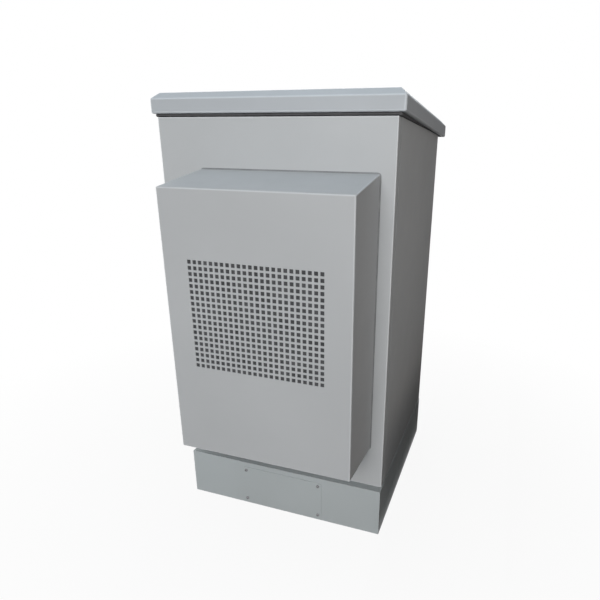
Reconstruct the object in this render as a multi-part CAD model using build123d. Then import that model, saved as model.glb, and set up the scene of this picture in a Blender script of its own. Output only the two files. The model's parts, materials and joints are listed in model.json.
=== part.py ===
# Roadside utility cabinet: every piece is modelled in its place in the assembly and written to parts/.
# Millimetres. X runs to the right seen from the front, Y to the back, Z up from the ground.
import math
import os

from build123d import *

# Body
BODY_WIDTH = 700.0
BODY_DEPTH = 650.0
BODY_HEIGHT = 1074.0
SHEET = 1.5
REAR_FLANGE = 25.0

# Rear cover
COVER_DEPTH = 40.0
COVER_INSET = 12.0
COVER_LIP = 25.0

# Plinth
PLINTH_HEIGHT = 165.0
PLINTH_INSET = 4.0
PLINTH_SHEET = 2.0
PLINTH_FLANGE = 55.0
ANCHOR_EDGE = 24.0
ANCHOR_END = 81.0
ANCHOR_HOLE_DIAMETER = 14.0
SHADOW_GAP = 22.0
SKIRT_INSET = 14.0

# Access plate in the plinth
ACCESS_WIDTH = 292.0
ACCESS_LOW = 7.0
ACCESS_TOP_MARGIN = 18.0
ACCESS_CORNER = 8.0
ACCESS_OVERLAP = 25.0
SCREW_EDGE = 12.5
SCREW_HEAD_DIAMETER = 11.0
SCREW_HEAD_HEIGHT = 3.5

# Lid
LID_OVERHANG = 18.0
LID_FRONT_OVERHANG = 4.0
LID_REAR_OVERHANG = 14.0
LID_GAP = 9.0
LID_FALL = 12.0
LID_SKIRT = 38.0
LID_BEVEL_WIDTH = 20.0
LID_BEVEL_HEIGHT = 18.0
LID_RETURN = 12.0
BEARER_INSET = 120.0
BEARER_WIDTH = 50.0
BEARER_SHEET = 2.0
BEARER_END_GAP = 25.0
VENT_SLOTS = 4
VENT_WIDTH = 12.0
VENT_PITCH = 30.0
VENT_MARGIN = 75.0

# Door and the frame behind it
DOOR_DEPTH = 28.0
DOOR_SEAM = 3.0
FRAME_SET_BACK = 26.0
FRAME_RETURN = 28.0
LIP_LEFT_INSET = 29.5
LIP_RIGHT_INSET = 50.0
LIP_HEIGHT_INSET = 28.0
GASKET_WIDTH = 14.0
GASKET_DEPTH = 12.0
GASKET_CLEARANCE = 0.3

# Concealed hinges
HINGE_COUNT = 2
HINGE_END_DISTANCE = 160.0
HINGE_INSET = 9.0
HINGE_SET_BACK = 16.0
HINGE_PIN_DIAMETER = 6.0
HINGE_KNUCKLE_WIDTH = 10.0
HINGE_KNUCKLE_LENGTH = 24.0
HINGE_CLEARANCE = 0.05
HINGE_PLAY = 0.4
NECK_REACH = 24.0
NECK_LEG = 6.0
NECK_ARM = 5.0
NECK_FOOT = 4.0

# Cooling hood on the door
HOOD_DEPTH = 197.0
HOOD_LEFT_MARGIN = 132.0
HOOD_RIGHT_MARGIN = 42.0
HOOD_LOW_MARGIN = 133.0
HOOD_TOP_MARGIN = 136.0
HOOD_TOP_FALL = 43.0
HOOD_BOTTOM_RISE = 18.0
HOOD_FLANGE = 22.0
HOOD_FRONT_RETURN = 12.0
HOOD_FRONT_CLEARANCE = 0.4
OUTLET_SLOTS = 6
OUTLET_WIDTH = 10.0
OUTLET_PITCH = 22.0
OUTLET_MARGIN = 63.0

# Punched grille in the hood front
GRILLE_COLUMNS = 24
GRILLE_ROWS = 19
GRILLE_PITCH = 16.0
GRILLE_HOLE = 10.4
GRILLE_DROP = 327.0
FILTER_BORDER = 4.0
FILTER_DEPTH = 25.0

# Fan in a duct through the door
DUCT_MARGIN = 83.0
DUCT_OUTER_DEPTH = 80.0
DUCT_INNER_DEPTH = 70.0
DUCT_FLANGE = 22.0
DUCT_CLEARANCE = 1.0
FAN_MARGIN = 40.0
FAN_TIP_CLEARANCE = 4.0
FAN_HUB_DIAMETER = 92.0
FAN_HUB_DEPTH = 24.0
FAN_HUB_GAP = 0.5
FAN_BLADES = 5
FAN_BLADE_WIDTH_SHARE = 0.26
FAN_BLADE_SHEET = 2.5
FAN_BLADE_PITCH = 32.0
MOTOR_WIDTH = 64.0
MOTOR_CORNER = 12.0
MOTOR_DEPTH = 15.0
STRUT_WIDTH = 40.0
STRUT_SHEET = 4.0
STRUT_SET_OUT = 26.0
GUARD_SLOTS = 8
GUARD_SLOT_SHARE = 0.68
GUARD_BORDER = 22.0

# Handle and rod lock
ESCUTCHEON_WIDTH = 46.0
ESCUTCHEON_HEIGHT = 178.0
ESCUTCHEON_DEPTH = 5.0
ESCUTCHEON_ABOVE = 34.0
ESCUTCHEON_CORNER = 8.0
HANDLE_BOSS_DIAMETER = 32.0
HANDLE_BOSS_CLEARANCE = 0.08
HANDLE_SEAT_CLEARANCE = 0.4
HANDLE_GAP = 22.0
HANDLE_ARM_DEPTH = 11.0
HANDLE_ARM_LENGTH = 112.0
HANDLE_ARM_ROOT = 28.0
HANDLE_ARM_TIP = 20.0
SPINDLE_WIDTH = 9.0
SPINDLE_HOLE = 15.0
CRANK_SET_BACK = 24.5
CRANK_SHEET = 4.0
CRANK_WIDTH = 13.0
CRANK_PIN_RADIUS = 15.0
CRANK_PIN_DIAMETER = 6.0
CRANK_PIN_CLEARANCE = 0.9
ROD_GAP = 4.0
ROD_WIDTH = 12.0
ROD_SHEET = 5.0
ROD_OFFSET = 13.0
ROD_PLATE_WIDTH = 22.5
ROD_PLATE_HEIGHT = 18.0
ROD_PLATE_GAP = 3.0
GUIDE_WIDTH = 22.0
GUIDE_HEIGHT = 16.0
GUIDE_WALL = 3.0
GUIDE_CLEARANCE = 0.4
GUIDE_END_DISTANCE = 60.0
GUIDE_CRANK_DISTANCE = 90.0
KEEPER_SHEET = 3.0
KEEPER_WIDTH = 30.0
KEEPER_DEPTH = 24.0
KEEPER_DROP = 26.0
KEEPER_CLEARANCE = 2.0

# Rack inside
RACK_OPENING = 450.0
RAIL_FACE = 40.0
RAIL_SIDE = 50.0
RAIL_SHEET = 2.0
RAIL_FRONT_SET_BACK = 145.0
RAIL_REAR_SET_IN = 95.0
CROSSBAR_HEIGHT = 30.0
CROSSBAR_DEPTH = 50.0
CROSSBAR_SHEET = 2.0
INSULATION = 15.0
INSULATION_MARGIN = 4.0
EARTH_BAR_LENGTH = 260.0
EARTH_BAR_WIDTH = 25.0
EARTH_BAR_SHEET = 5.0
EARTH_BAR_SET_IN = 30.0
STANDOFF_HEIGHT = 25.0
STANDOFF_WIDTH = 18.0
STANDOFF_SPACING = 200.0

# Cable entry in the floor
ENTRY_WIDTH = 300.0
ENTRY_FRONT_GAP = 30.0
ENTRY_REAR_GAP = 37.5
ENTRY_BORDER = 22.0
ENTRY_FRAME_HEIGHT = 6.0
ENTRY_SEAL_DEPTH = 12.0
ENTRY_SEAL_CLEARANCE = 0.3

# Places that follow from the sizes above
LEFT = -BODY_WIDTH / 2
RIGHT = BODY_WIDTH / 2
FRONT = -BODY_DEPTH / 2
REAR = BODY_DEPTH / 2
BODY_LOW = PLINTH_HEIGHT + SHADOW_GAP
BODY_TOP = BODY_LOW + BODY_HEIGHT
WALL_LEFT = LEFT + SHEET
WALL_RIGHT = RIGHT - SHEET
WALL_REAR = REAR - SHEET
PLATE_REAR = WALL_REAR - SHEET
COVER_LEFT = LEFT + COVER_INSET
COVER_RIGHT = RIGHT - COVER_INSET
COVER_REAR = REAR + COVER_DEPTH
COVER_BACK = COVER_REAR - SHEET
FLOOR_TOP = BODY_LOW + SHEET
CEILING = BODY_TOP - SHEET
PLINTH_LEFT = LEFT + PLINTH_INSET
PLINTH_RIGHT = RIGHT - PLINTH_INSET
PLINTH_FRONT = FRONT + PLINTH_INSET
PLINTH_REAR = COVER_REAR - PLINTH_INSET
ANCHOR_SPACING_X = PLINTH_RIGHT - PLINTH_LEFT - ANCHOR_EDGE * 2
ANCHOR_SPACING_Y = -(PLINTH_FRONT + ANCHOR_END) * 2
ACCESS_HEIGHT = PLINTH_HEIGHT - ACCESS_LOW - ACCESS_TOP_MARGIN
DOOR_INSIDE = FRONT + SHEET
DOOR_EDGE = FRONT + DOOR_DEPTH
PANEL_FRONT = DOOR_EDGE + DOOR_SEAM
FRAME_FRONT = PANEL_FRONT + FRAME_SET_BACK
LIP_LEFT = LEFT + LIP_LEFT_INSET
LIP_RIGHT = RIGHT - LIP_RIGHT_INSET
LIP_LOW = BODY_LOW + LIP_HEIGHT_INSET
LIP_TOP = BODY_TOP - LIP_HEIGHT_INSET
LIP_FRONT = DOOR_INSIDE + GASKET_DEPTH + GASKET_CLEARANCE
HINGE_X = RIGHT - HINGE_INSET
HINGE_Y = DOOR_EDGE + HINGE_SET_BACK
HOOD_LEFT = LEFT + HOOD_LEFT_MARGIN
HOOD_RIGHT = RIGHT - HOOD_RIGHT_MARGIN
HOOD_WIDTH = HOOD_RIGHT - HOOD_LEFT
HOOD_CENTRE_X = (HOOD_LEFT + HOOD_RIGHT) / 2
HOOD_FACE = FRONT - HOOD_DEPTH
HOOD_REAR_LOW = BODY_LOW + HOOD_LOW_MARGIN
HOOD_REAR_TOP = BODY_TOP - HOOD_TOP_MARGIN
HOOD_FRONT_LOW = HOOD_REAR_LOW + HOOD_BOTTOM_RISE
HOOD_FRONT_TOP = HOOD_REAR_TOP - HOOD_TOP_FALL
GRILLE_CENTRE_Z = HOOD_FRONT_TOP - GRILLE_DROP
OUTLET_LENGTH = HOOD_WIDTH - OUTLET_MARGIN * 2
DUCT_WIDTH = HOOD_WIDTH - DUCT_MARGIN * 2
DUCT_HEIGHT = DUCT_WIDTH
FAN_DIAMETER = DUCT_WIDTH - FAN_MARGIN * 2
FAN_BLADE_WIDTH = FAN_DIAMETER * FAN_BLADE_WIDTH_SHARE
DUCT_OUTER = FRONT - DUCT_OUTER_DEPTH
DUCT_INNER = FRONT + DUCT_INNER_DEPTH
STRUT_BACK = FRONT - STRUT_SET_OUT
STRUT_FRONT = STRUT_BACK - STRUT_SHEET
MOTOR_FACE = STRUT_FRONT - MOTOR_DEPTH
LOCK_CENTRE_X = (LEFT + HOOD_LEFT) / 2
LOCK_CENTRE_Z = (BODY_LOW + BODY_TOP) / 2
HANDLE_SEAT = FRONT - HANDLE_SEAT_CLEARANCE
HANDLE_ARM_BACK = FRONT - ESCUTCHEON_DEPTH - HANDLE_GAP
HANDLE_FACE = HANDLE_ARM_BACK - HANDLE_ARM_DEPTH
CRANK_FRONT = DOOR_INSIDE + CRANK_SET_BACK
CRANK_BACK = CRANK_FRONT + CRANK_SHEET
CRANK_PIN_DROP = CRANK_PIN_RADIUS * math.sqrt(1 / 2)
ROD_FRONT = CRANK_BACK + ROD_GAP
ROD_BACK = ROD_FRONT + ROD_SHEET
UPPER_ROD_X = LOCK_CENTRE_X - ROD_OFFSET
LOWER_ROD_X = LOCK_CENTRE_X + ROD_OFFSET
UPPER_ROD_END = LIP_TOP - SHEET - KEEPER_DROP - KEEPER_CLEARANCE
LOWER_ROD_END = LIP_LOW + SHEET + KEEPER_DROP + KEEPER_CLEARANCE
RAIL_FRONT = FRONT + RAIL_FRONT_SET_BACK
RAIL_REAR = REAR - RAIL_REAR_SET_IN
RAIL_LOW = FLOOR_TOP + CROSSBAR_HEIGHT
RAIL_TOP = CEILING - CROSSBAR_HEIGHT
EARTH_BAR_Y = RAIL_REAR - CROSSBAR_DEPTH - EARTH_BAR_SET_IN
ENTRY_FRONT = RAIL_FRONT + CROSSBAR_DEPTH + ENTRY_FRONT_GAP + ENTRY_BORDER
ENTRY_REAR = EARTH_BAR_Y - EARTH_BAR_WIDTH / 2 - ENTRY_REAR_GAP - ENTRY_BORDER
ENTRY_DEPTH = ENTRY_REAR - ENTRY_FRONT
ENTRY_CENTRE_Y = (ENTRY_FRONT + ENTRY_REAR) / 2
BEARER_X = RIGHT - BEARER_INSET
VENT_LENGTH = BEARER_X * 2 - BEARER_WIDTH - VENT_MARGIN * 2
LID_LOW = BODY_TOP + LID_GAP
LID_SHOULDER = LID_LOW + LID_SKIRT
LID_TOP = LID_SHOULDER + LID_BEVEL_HEIGHT
LID_FRONT = FRONT - LID_FRONT_OVERHANG
LID_REAR = COVER_REAR + LID_REAR_OVERHANG
LID_CENTRE_Y = (LID_FRONT + LID_REAR) / 2
LID_SLOPE = math.atan2(LID_FALL, LID_REAR - LID_FRONT)

# Planes seen along each axis, for outlines drawn in (y, z), (x, z) and (x, y)
ALONG_X = Plane(origin=(0, 0, 0), x_dir=(0, 1, 0), z_dir=(1, 0, 0))
ALONG_Y = Plane(origin=(0, 0, 0), x_dir=(1, 0, 0), z_dir=(0, -1, 0))
ALONG_Z = Plane.XY


# General shapes

def between(one, other):
    """The two places in rising order."""
    return (min(one, other), max(one, other))


def around(middle, size):
    """Low and high ends of a size about its middle."""
    return (middle - size / 2, middle + size / 2)


def block(x, y, z):
    """Box between the low and high ends on each axis."""
    sizes = [high - low for low, high in (x, y, z)]
    middles = [(high + low) / 2 for low, high in (x, y, z)]
    return Pos(*middles) * Box(*sizes)


def run(plane, outline, ends):
    """Outline drawn on a plane, run along the plane's own axis between two places on it."""
    start, end = ends
    if plane is ALONG_Y:
        start, end = -end, -start
    return extrude(plane.offset(start) * outline, end - start)


def polygon(points):
    return make_face(Polyline(*points, close=True))


def folded(points, sheet, side):
    """Section of a sheet folded along a line of points, with its thickness on one side of the line."""
    return make_face(offset(Polyline(*points), amount=sheet, side=side, kind=Kind.INTERSECTION))


def round_y(x, z, diameter, ends):
    """Round bar along Y."""
    return Pos(x, sum(ends) / 2, z) * Rot(X=90) * Cylinder(diameter / 2, max(ends) - min(ends))


def round_z(x, y, diameter, ends):
    """Round bar along Z."""
    return Pos(x, y, sum(ends) / 2) * Cylinder(diameter / 2, max(ends) - min(ends))


# Plinth

def plinth_beam(outer, turn):
    """Front or rear channel, with its flanges cut back for the walls of the side channels."""
    inner = outer - turn * PLINTH_FLANGE
    side = Side.LEFT if turn > 0 else Side.RIGHT
    points = [(inner, 0), (outer, 0), (outer, PLINTH_HEIGHT), (inner, PLINTH_HEIGHT)]
    beam = run(ALONG_X, folded(points, PLINTH_SHEET, side), (PLINTH_LEFT, PLINTH_RIGHT))
    flanges = between(outer - turn * PLINTH_SHEET, inner)
    for end in ((PLINTH_LEFT, PLINTH_LEFT + PLINTH_SHEET), (PLINTH_RIGHT - PLINTH_SHEET, PLINTH_RIGHT)):
        beam -= block(end, flanges, (0, PLINTH_HEIGHT))
    return beam


def plinth_front():
    opening = block(
        around(0, ACCESS_WIDTH - ACCESS_OVERLAP * 2),
        (PLINTH_FRONT, PLINTH_FRONT + PLINTH_SHEET),
        (ACCESS_LOW + ACCESS_OVERLAP, ACCESS_LOW + ACCESS_HEIGHT - ACCESS_OVERLAP),
    )
    return plinth_beam(PLINTH_FRONT, -1) - opening


def plinth_side(outer, turn):
    """Side channel with anchor holes, its flanges cut back where the front and rear flanges lie."""
    inner = outer - turn * PLINTH_FLANGE
    side = Side.LEFT if turn > 0 else Side.RIGHT
    points = [(inner, 0), (outer, 0), (outer, PLINTH_HEIGHT), (inner, PLINTH_HEIGHT)]
    front = PLINTH_FRONT + PLINTH_SHEET
    rear = PLINTH_REAR - PLINTH_SHEET
    channel = run(ALONG_Y, folded(points, PLINTH_SHEET, side), (front, rear))
    flanges = between(outer - turn * PLINTH_SHEET, inner)
    for end in ((front, PLINTH_FRONT + PLINTH_FLANGE), (PLINTH_REAR - PLINTH_FLANGE, rear)):
        channel -= block(flanges, end, (0, PLINTH_HEIGHT))
    for y in around(0, ANCHOR_SPACING_Y):
        channel -= round_z(turn * ANCHOR_SPACING_X / 2, y, ANCHOR_HOLE_DIAMETER, (0, PLINTH_SHEET))
    return channel


def plinth_access_plate():
    outline = RectangleRounded(ACCESS_WIDTH, ACCESS_HEIGHT, ACCESS_CORNER)
    middle = ACCESS_LOW + ACCESS_HEIGHT / 2
    return run(ALONG_Y, Pos(0, middle) * outline, (PLINTH_FRONT - SHEET, PLINTH_FRONT))


def plinth_plate_screws():
    face = PLINTH_FRONT - SHEET
    middle = ACCESS_LOW + ACCESS_HEIGHT / 2
    head = RegularPolygon(SCREW_HEAD_DIAMETER / 2, 6)
    screws = []
    for x in around(0, ACCESS_WIDTH - SCREW_EDGE * 2):
        for z in around(middle, ACCESS_HEIGHT - SCREW_EDGE * 2):
            screws.append(run(ALONG_Y, Pos(x, z) * head, (face - SCREW_HEAD_HEIGHT, face)))
    return Compound(screws)


# Floor, walls and lid

def floor_plate():
    """Floor on a recessed foot that leaves the dark gap above the plinth."""
    plate = block((WALL_LEFT, WALL_RIGHT), (PANEL_FRONT, PLATE_REAR), (BODY_LOW, FLOOR_TOP))
    outer = Rectangle(BODY_WIDTH - SKIRT_INSET * 2, REAR - SKIRT_INSET - PANEL_FRONT)
    foot = Pos(0, (REAR - SKIRT_INSET + PANEL_FRONT) / 2) * (outer - offset(outer, amount=-SHEET))
    entry = block(around(0, ENTRY_WIDTH), (ENTRY_FRONT, ENTRY_REAR), (BODY_LOW, FLOOR_TOP))
    return plate + run(ALONG_Z, foot, (PLINTH_HEIGHT, BODY_LOW)) - entry


def cable_entry_frame():
    opening = Rectangle(ENTRY_WIDTH, ENTRY_DEPTH)
    outer = Rectangle(ENTRY_WIDTH + ENTRY_BORDER * 2, ENTRY_DEPTH + ENTRY_BORDER * 2)
    middle = Pos(0, ENTRY_CENTRE_Y)
    return run(ALONG_Z, middle * (outer - opening), (FLOOR_TOP, FLOOR_TOP + ENTRY_FRAME_HEIGHT))


def cable_entry_seal():
    top = FLOOR_TOP + ENTRY_FRAME_HEIGHT
    clear = ENTRY_SEAL_CLEARANCE * 2
    depth = around(ENTRY_CENTRE_Y, ENTRY_DEPTH - clear)
    return block(around(0, ENTRY_WIDTH - clear), depth, (top - ENTRY_SEAL_DEPTH, top))


def side_panel(outer, turn):
    """Wall folded inward at the back, where the rear panel is fastened."""
    side = Side.LEFT if turn > 0 else Side.RIGHT
    points = [(outer, PANEL_FRONT), (outer, WALL_REAR), (outer - turn * REAR_FLANGE, WALL_REAR)]
    return run(ALONG_Z, folded(points, SHEET, side), (BODY_LOW, BODY_TOP))


def rear_panel():
    """Deep cover set in from the sides, with a lip that is fastened to their rear flanges."""
    lip = WALL_REAR + SHEET
    cover = block((COVER_LEFT, COVER_RIGHT), (WALL_REAR, COVER_REAR), (BODY_LOW, BODY_TOP))
    cover -= block((COVER_LEFT + SHEET, COVER_RIGHT - SHEET), (lip, COVER_BACK), (FLOOR_TOP, CEILING))
    window_x = (COVER_LEFT + COVER_LIP, COVER_RIGHT - COVER_LIP)
    window_z = (BODY_LOW + COVER_LIP, BODY_TOP - COVER_LIP)
    return cover - block(window_x, (WALL_REAR, lip), window_z)


def top_plate():
    """Ceiling with the slots that let warm air out under the lid."""
    plate = block((WALL_LEFT, WALL_RIGHT), (PANEL_FRONT, PLATE_REAR), (CEILING, BODY_TOP))
    first = -VENT_PITCH * (VENT_SLOTS - 1) / 2
    for index in range(VENT_SLOTS):
        slot = around(first + VENT_PITCH * index, VENT_WIDTH)
        plate -= block(around(0, VENT_LENGTH), slot, (CEILING, BODY_TOP))
    return plate


def lid_underside(y):
    """Height of the inside of the sloping lid's top at a depth."""
    rise = (LID_TOP - SHEET - LID_LOW) / math.cos(LID_SLOPE)
    return LID_LOW + rise - (y - LID_FRONT) * math.tan(LID_SLOPE)


def roof_bearer(middle):
    """Channel that holds the lid clear of the top plate, lower towards the back."""
    low, high = around(middle, BEARER_WIDTH)
    front = PANEL_FRONT + BEARER_END_GAP
    rear = PLATE_REAR - BEARER_END_GAP
    tops = [(rear, lid_underside(rear)), (front, lid_underside(front))]
    web = polygon([(front, BODY_TOP), (rear, BODY_TOP)] + tops)
    flange = polygon([(y, top - BEARER_SHEET) for y, top in reversed(tops)] + tops)
    bearer = block((low, high), (front, rear), (BODY_TOP, BODY_TOP + BEARER_SHEET))
    bearer += run(ALONG_X, web, (low, low + BEARER_SHEET))
    return bearer + run(ALONG_X, flange, (low, high))


def lid_form(inset, low):
    """Solid of the lid with its bevelled rim, drawn in from the outside by a distance."""
    slope = math.atan2(LID_BEVEL_HEIGHT, LID_BEVEL_WIDTH)
    shoulder = LID_SHOULDER - inset * math.tan((math.pi / 2 - slope) / 2)
    top = LID_TOP - inset
    rise = (top - shoulder) / math.tan(slope)
    width = BODY_WIDTH + (LID_OVERHANG - inset) * 2
    skirt = Pos(0, LID_CENTRE_Y) * Rectangle(width, LID_REAR - LID_FRONT - inset * 2)
    crown = offset(skirt, amount=-rise, kind=Kind.INTERSECTION)
    wall = run(ALONG_Z, skirt, (low, shoulder))
    return wall + loft([Pos(0, 0, shoulder) * skirt, Pos(0, 0, top) * crown])


def roof_cap():
    """Lid with a bevelled rim and a return, tilted about its front edge to shed rain to the back."""
    margin = LID_OVERHANG - LID_RETURN
    window_y = (LID_FRONT + LID_RETURN, LID_REAR - LID_RETURN)
    window = block((LEFT - margin, RIGHT + margin), window_y, (LID_LOW, LID_LOW + SHEET))
    cap = lid_form(0, LID_LOW) - lid_form(SHEET, LID_LOW + SHEET) - window
    tilt = Pos(0, LID_FRONT, LID_LOW) * Rot(X=-math.degrees(LID_SLOPE))
    return tilt * Pos(0, -LID_FRONT, -LID_LOW) * cap


# Frame round the door opening

def frame_post(wall, lip, turn):
    """Folded post: a flange on the side wall, a face towards the door and a lip for the gasket."""
    side = Side.RIGHT if turn > 0 else Side.LEFT
    points = [(wall, FRAME_FRONT + FRAME_RETURN), (wall, FRAME_FRONT), (lip, FRAME_FRONT), (lip, LIP_FRONT)]
    post = run(ALONG_Z, folded(points, SHEET, side), (FLOOR_TOP, CEILING))
    across = between(wall, lip - turn * SHEET)
    for end in ((FLOOR_TOP, LIP_LOW), (LIP_TOP, CEILING)):
        post -= block(across, (LIP_FRONT, FRAME_FRONT), end)
    return post


def frame_beam(wall, lip, side):
    """Folded head or sill between the two posts, with the same section as theirs."""
    points = [(FRAME_FRONT + FRAME_RETURN, wall), (FRAME_FRONT, wall), (FRAME_FRONT, lip), (LIP_FRONT, lip)]
    return run(ALONG_X, folded(points, SHEET, side), (LIP_LEFT + SHEET, LIP_RIGHT - SHEET))


def keeper(seat, middle, turn):
    """Angle on the frame lip that the end of a lock rod slides behind."""
    front = ROD_FRONT - KEEPER_CLEARANCE - KEEPER_SHEET
    side = Side.RIGHT if turn > 0 else Side.LEFT
    points = [(front, seat - turn * KEEPER_DROP), (front, seat), (front + KEEPER_DEPTH, seat)]
    return run(ALONG_X, folded(points, KEEPER_SHEET, side), around(middle, KEEPER_WIDTH))


# Door

def door_panel():
    """Folded pan with an opening for the fan duct and a hole for the lock spindle."""
    pan = block((LEFT, RIGHT), (FRONT, DOOR_EDGE), (BODY_LOW, BODY_TOP))
    pan = offset(pan, amount=-SHEET, openings=pan.faces().sort_by(Axis.Y)[-1])
    skin = (FRONT, DOOR_INSIDE)
    gap = DUCT_CLEARANCE * 2
    pan -= block(around(HOOD_CENTRE_X, DUCT_WIDTH + gap), skin, around(GRILLE_CENTRE_Z, DUCT_HEIGHT + gap))
    return pan - block(around(LOCK_CENTRE_X, SPINDLE_HOLE), skin, around(LOCK_CENTRE_Z, SPINDLE_HOLE))


def door_gasket():
    """Foam strip on the door that meets the edge of the frame lip all round."""
    wide = LIP_RIGHT - LIP_LEFT - SHEET
    high = LIP_TOP - LIP_LOW - SHEET
    outer = Rectangle(wide + GASKET_WIDTH, high + GASKET_WIDTH)
    inner = Rectangle(wide - GASKET_WIDTH, high - GASKET_WIDTH)
    middle = Pos((LIP_LEFT + LIP_RIGHT) / 2, (LIP_LOW + LIP_TOP) / 2)
    return run(ALONG_Y, middle * (outer - inner), (DOOR_INSIDE, DOOR_INSIDE + GASKET_DEPTH))


def hinge_heights():
    low = BODY_LOW + HINGE_END_DISTANCE
    high = BODY_TOP - HINGE_END_DISTANCE
    return [low + (high - low) * index / (HINGE_COUNT - 1) for index in range(HINGE_COUNT)]


def hinge_pintles():
    """Blocks on the right post, each with a pin that stands up into the door's hinge arm."""
    half = HINGE_KNUCKLE_WIDTH / 2
    pintles = []
    for z in hinge_heights():
        seat = block(
            around(HINGE_X, HINGE_KNUCKLE_WIDTH), (HINGE_Y - half, FRAME_FRONT), (z - HINGE_KNUCKLE_LENGTH, z)
        )
        pin = round_z(HINGE_X, HINGE_Y, HINGE_PIN_DIAMETER, (z, z + HINGE_PLAY + HINGE_KNUCKLE_LENGTH))
        pintles.append(seat + pin)
    return Compound(pintles)


def hinge_goosenecks():
    """Bent arms that carry the door round the front edge of the side panel."""
    half = HINGE_KNUCKLE_WIDTH / 2
    far = -NECK_REACH
    leg = far + NECK_LEG
    arm = half - NECK_ARM
    door = DOOR_INSIDE - HINGE_Y
    outline = polygon([
        (half, -half), (half, half), (far, half), (far, door), (0, door), (0, door + NECK_FOOT),
        (leg, door + NECK_FOOT), (leg, arm), (-half, arm), (-half, -half),
    ])
    outline -= Circle(HINGE_PIN_DIAMETER / 2 + HINGE_CLEARANCE)
    necks = []
    for z in hinge_heights():
        low = z + HINGE_PLAY
        necks.append(run(ALONG_Z, Pos(HINGE_X, HINGE_Y) * outline, (low, low + HINGE_KNUCKLE_LENGTH)))
    return Compound(necks)


# Cooling hood

def hood_shell():
    """Sleeve with a sloping top and bottom, a mounting flange at the back and air slots underneath."""
    mouth = HOOD_FACE + SHEET
    outline = polygon([
        (FRONT, HOOD_REAR_LOW), (FRONT, HOOD_REAR_TOP), (mouth, HOOD_FRONT_TOP), (mouth, HOOD_FRONT_LOW),
    ])
    solid = run(ALONG_X, outline, (HOOD_LEFT, HOOD_RIGHT))
    shell = offset(solid, amount=-SHEET, openings=solid.faces().sort_by(Axis.Y)[0])
    shell -= block(
        (HOOD_LEFT + HOOD_FLANGE, HOOD_RIGHT - HOOD_FLANGE),
        (FRONT - SHEET, FRONT),
        (HOOD_REAR_LOW + HOOD_FLANGE, HOOD_REAR_TOP - HOOD_FLANGE),
    )
    first = (FRONT + HOOD_FACE) / 2 - OUTLET_PITCH * (OUTLET_SLOTS - 1) / 2
    for index in range(OUTLET_SLOTS):
        slot = around(first + OUTLET_PITCH * index, OUTLET_WIDTH)
        shell -= block(around(HOOD_CENTRE_X, OUTLET_LENGTH), slot, (HOOD_REAR_LOW, GRILLE_CENTRE_Z))
    return shell


def grille_places():
    """Centres of the punched holes about the middle of the grille."""
    first_x = -GRILLE_PITCH * (GRILLE_COLUMNS - 1) / 2
    first_z = -GRILLE_PITCH * (GRILLE_ROWS - 1) / 2
    return [
        (first_x + GRILLE_PITCH * column, first_z + GRILLE_PITCH * row)
        for row in range(GRILLE_ROWS)
        for column in range(GRILLE_COLUMNS)
    ]


def hood_front():
    """Flat punched front with an inner return that fits in the shell's mouth."""
    half = GRILLE_HOLE / 2
    punch = Wire.make_polygon([(-half, -half), (half, -half), (half, half), (-half, half)])
    middle_z = (HOOD_FRONT_LOW + HOOD_FRONT_TOP) / 2
    rise = GRILLE_CENTRE_Z - middle_z
    holes = [punch.moved(Location((x, z + rise, 0))) for x, z in grille_places()]
    sheet = Face(Wire.make_rect(HOOD_WIDTH, HOOD_FRONT_TOP - HOOD_FRONT_LOW), holes)
    place = ALONG_Y.offset(-HOOD_FACE) * Pos(HOOD_CENTRE_X, middle_z)
    skin = extrude(place * sheet, SHEET, dir=(0, 1, 0))
    inset = (SHEET + HOOD_FRONT_CLEARANCE) * 2
    rim = Rectangle(HOOD_WIDTH - inset, HOOD_FRONT_TOP - HOOD_FRONT_LOW - inset)
    rim -= offset(rim, amount=-SHEET, kind=Kind.INTERSECTION)
    back = HOOD_FACE + SHEET
    return skin + run(ALONG_Y, Pos(HOOD_CENTRE_X, middle_z) * rim, (back, back + HOOD_FRONT_RETURN))


def filter_mat():
    """Foam mat against the back of the punched front."""
    wide = GRILLE_PITCH * GRILLE_COLUMNS + FILTER_BORDER * 2
    high = GRILLE_PITCH * GRILLE_ROWS + FILTER_BORDER * 2
    back = HOOD_FACE + SHEET
    return block(around(HOOD_CENTRE_X, wide), (back, back + FILTER_DEPTH), around(GRILLE_CENTRE_Z, high))


# Fan

def fan_duct():
    """Square sleeve through the door with a flange against the inside of the door skin."""
    outer = Rectangle(DUCT_WIDTH, DUCT_HEIGHT)
    inner = offset(outer, amount=-SHEET, kind=Kind.INTERSECTION)
    border = offset(outer, amount=DUCT_FLANGE, kind=Kind.INTERSECTION)
    middle = Pos(HOOD_CENTRE_X, GRILLE_CENTRE_Z)
    sleeve = run(ALONG_Y, middle * (outer - inner), (DUCT_OUTER, DUCT_INNER))
    return sleeve + run(ALONG_Y, middle * (border - inner), (DOOR_INSIDE, DOOR_INSIDE + SHEET))


def fan_plate():
    """Sheet that closes the outer end of the duct round the fan."""
    outline = Rectangle(DUCT_WIDTH, DUCT_HEIGHT) - Circle(FAN_DIAMETER / 2)
    return run(ALONG_Y, Pos(HOOD_CENTRE_X, GRILLE_CENTRE_Z) * outline, (DUCT_OUTER - SHEET, DUCT_OUTER))


def fan_strut():
    """Flat bar across the duct that carries the motor."""
    across = around(HOOD_CENTRE_X, DUCT_WIDTH - SHEET * 2)
    return block(across, (STRUT_FRONT, STRUT_BACK), around(GRILLE_CENTRE_Z, STRUT_WIDTH))


def fan_motor():
    """Square stator base on the strut."""
    base = chamfer(Rectangle(MOTOR_WIDTH, MOTOR_WIDTH).vertices(), MOTOR_CORNER)
    return run(ALONG_Y, Pos(HOOD_CENTRE_X, GRILLE_CENTRE_Z) * base, (MOTOR_FACE, STRUT_FRONT))


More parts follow.
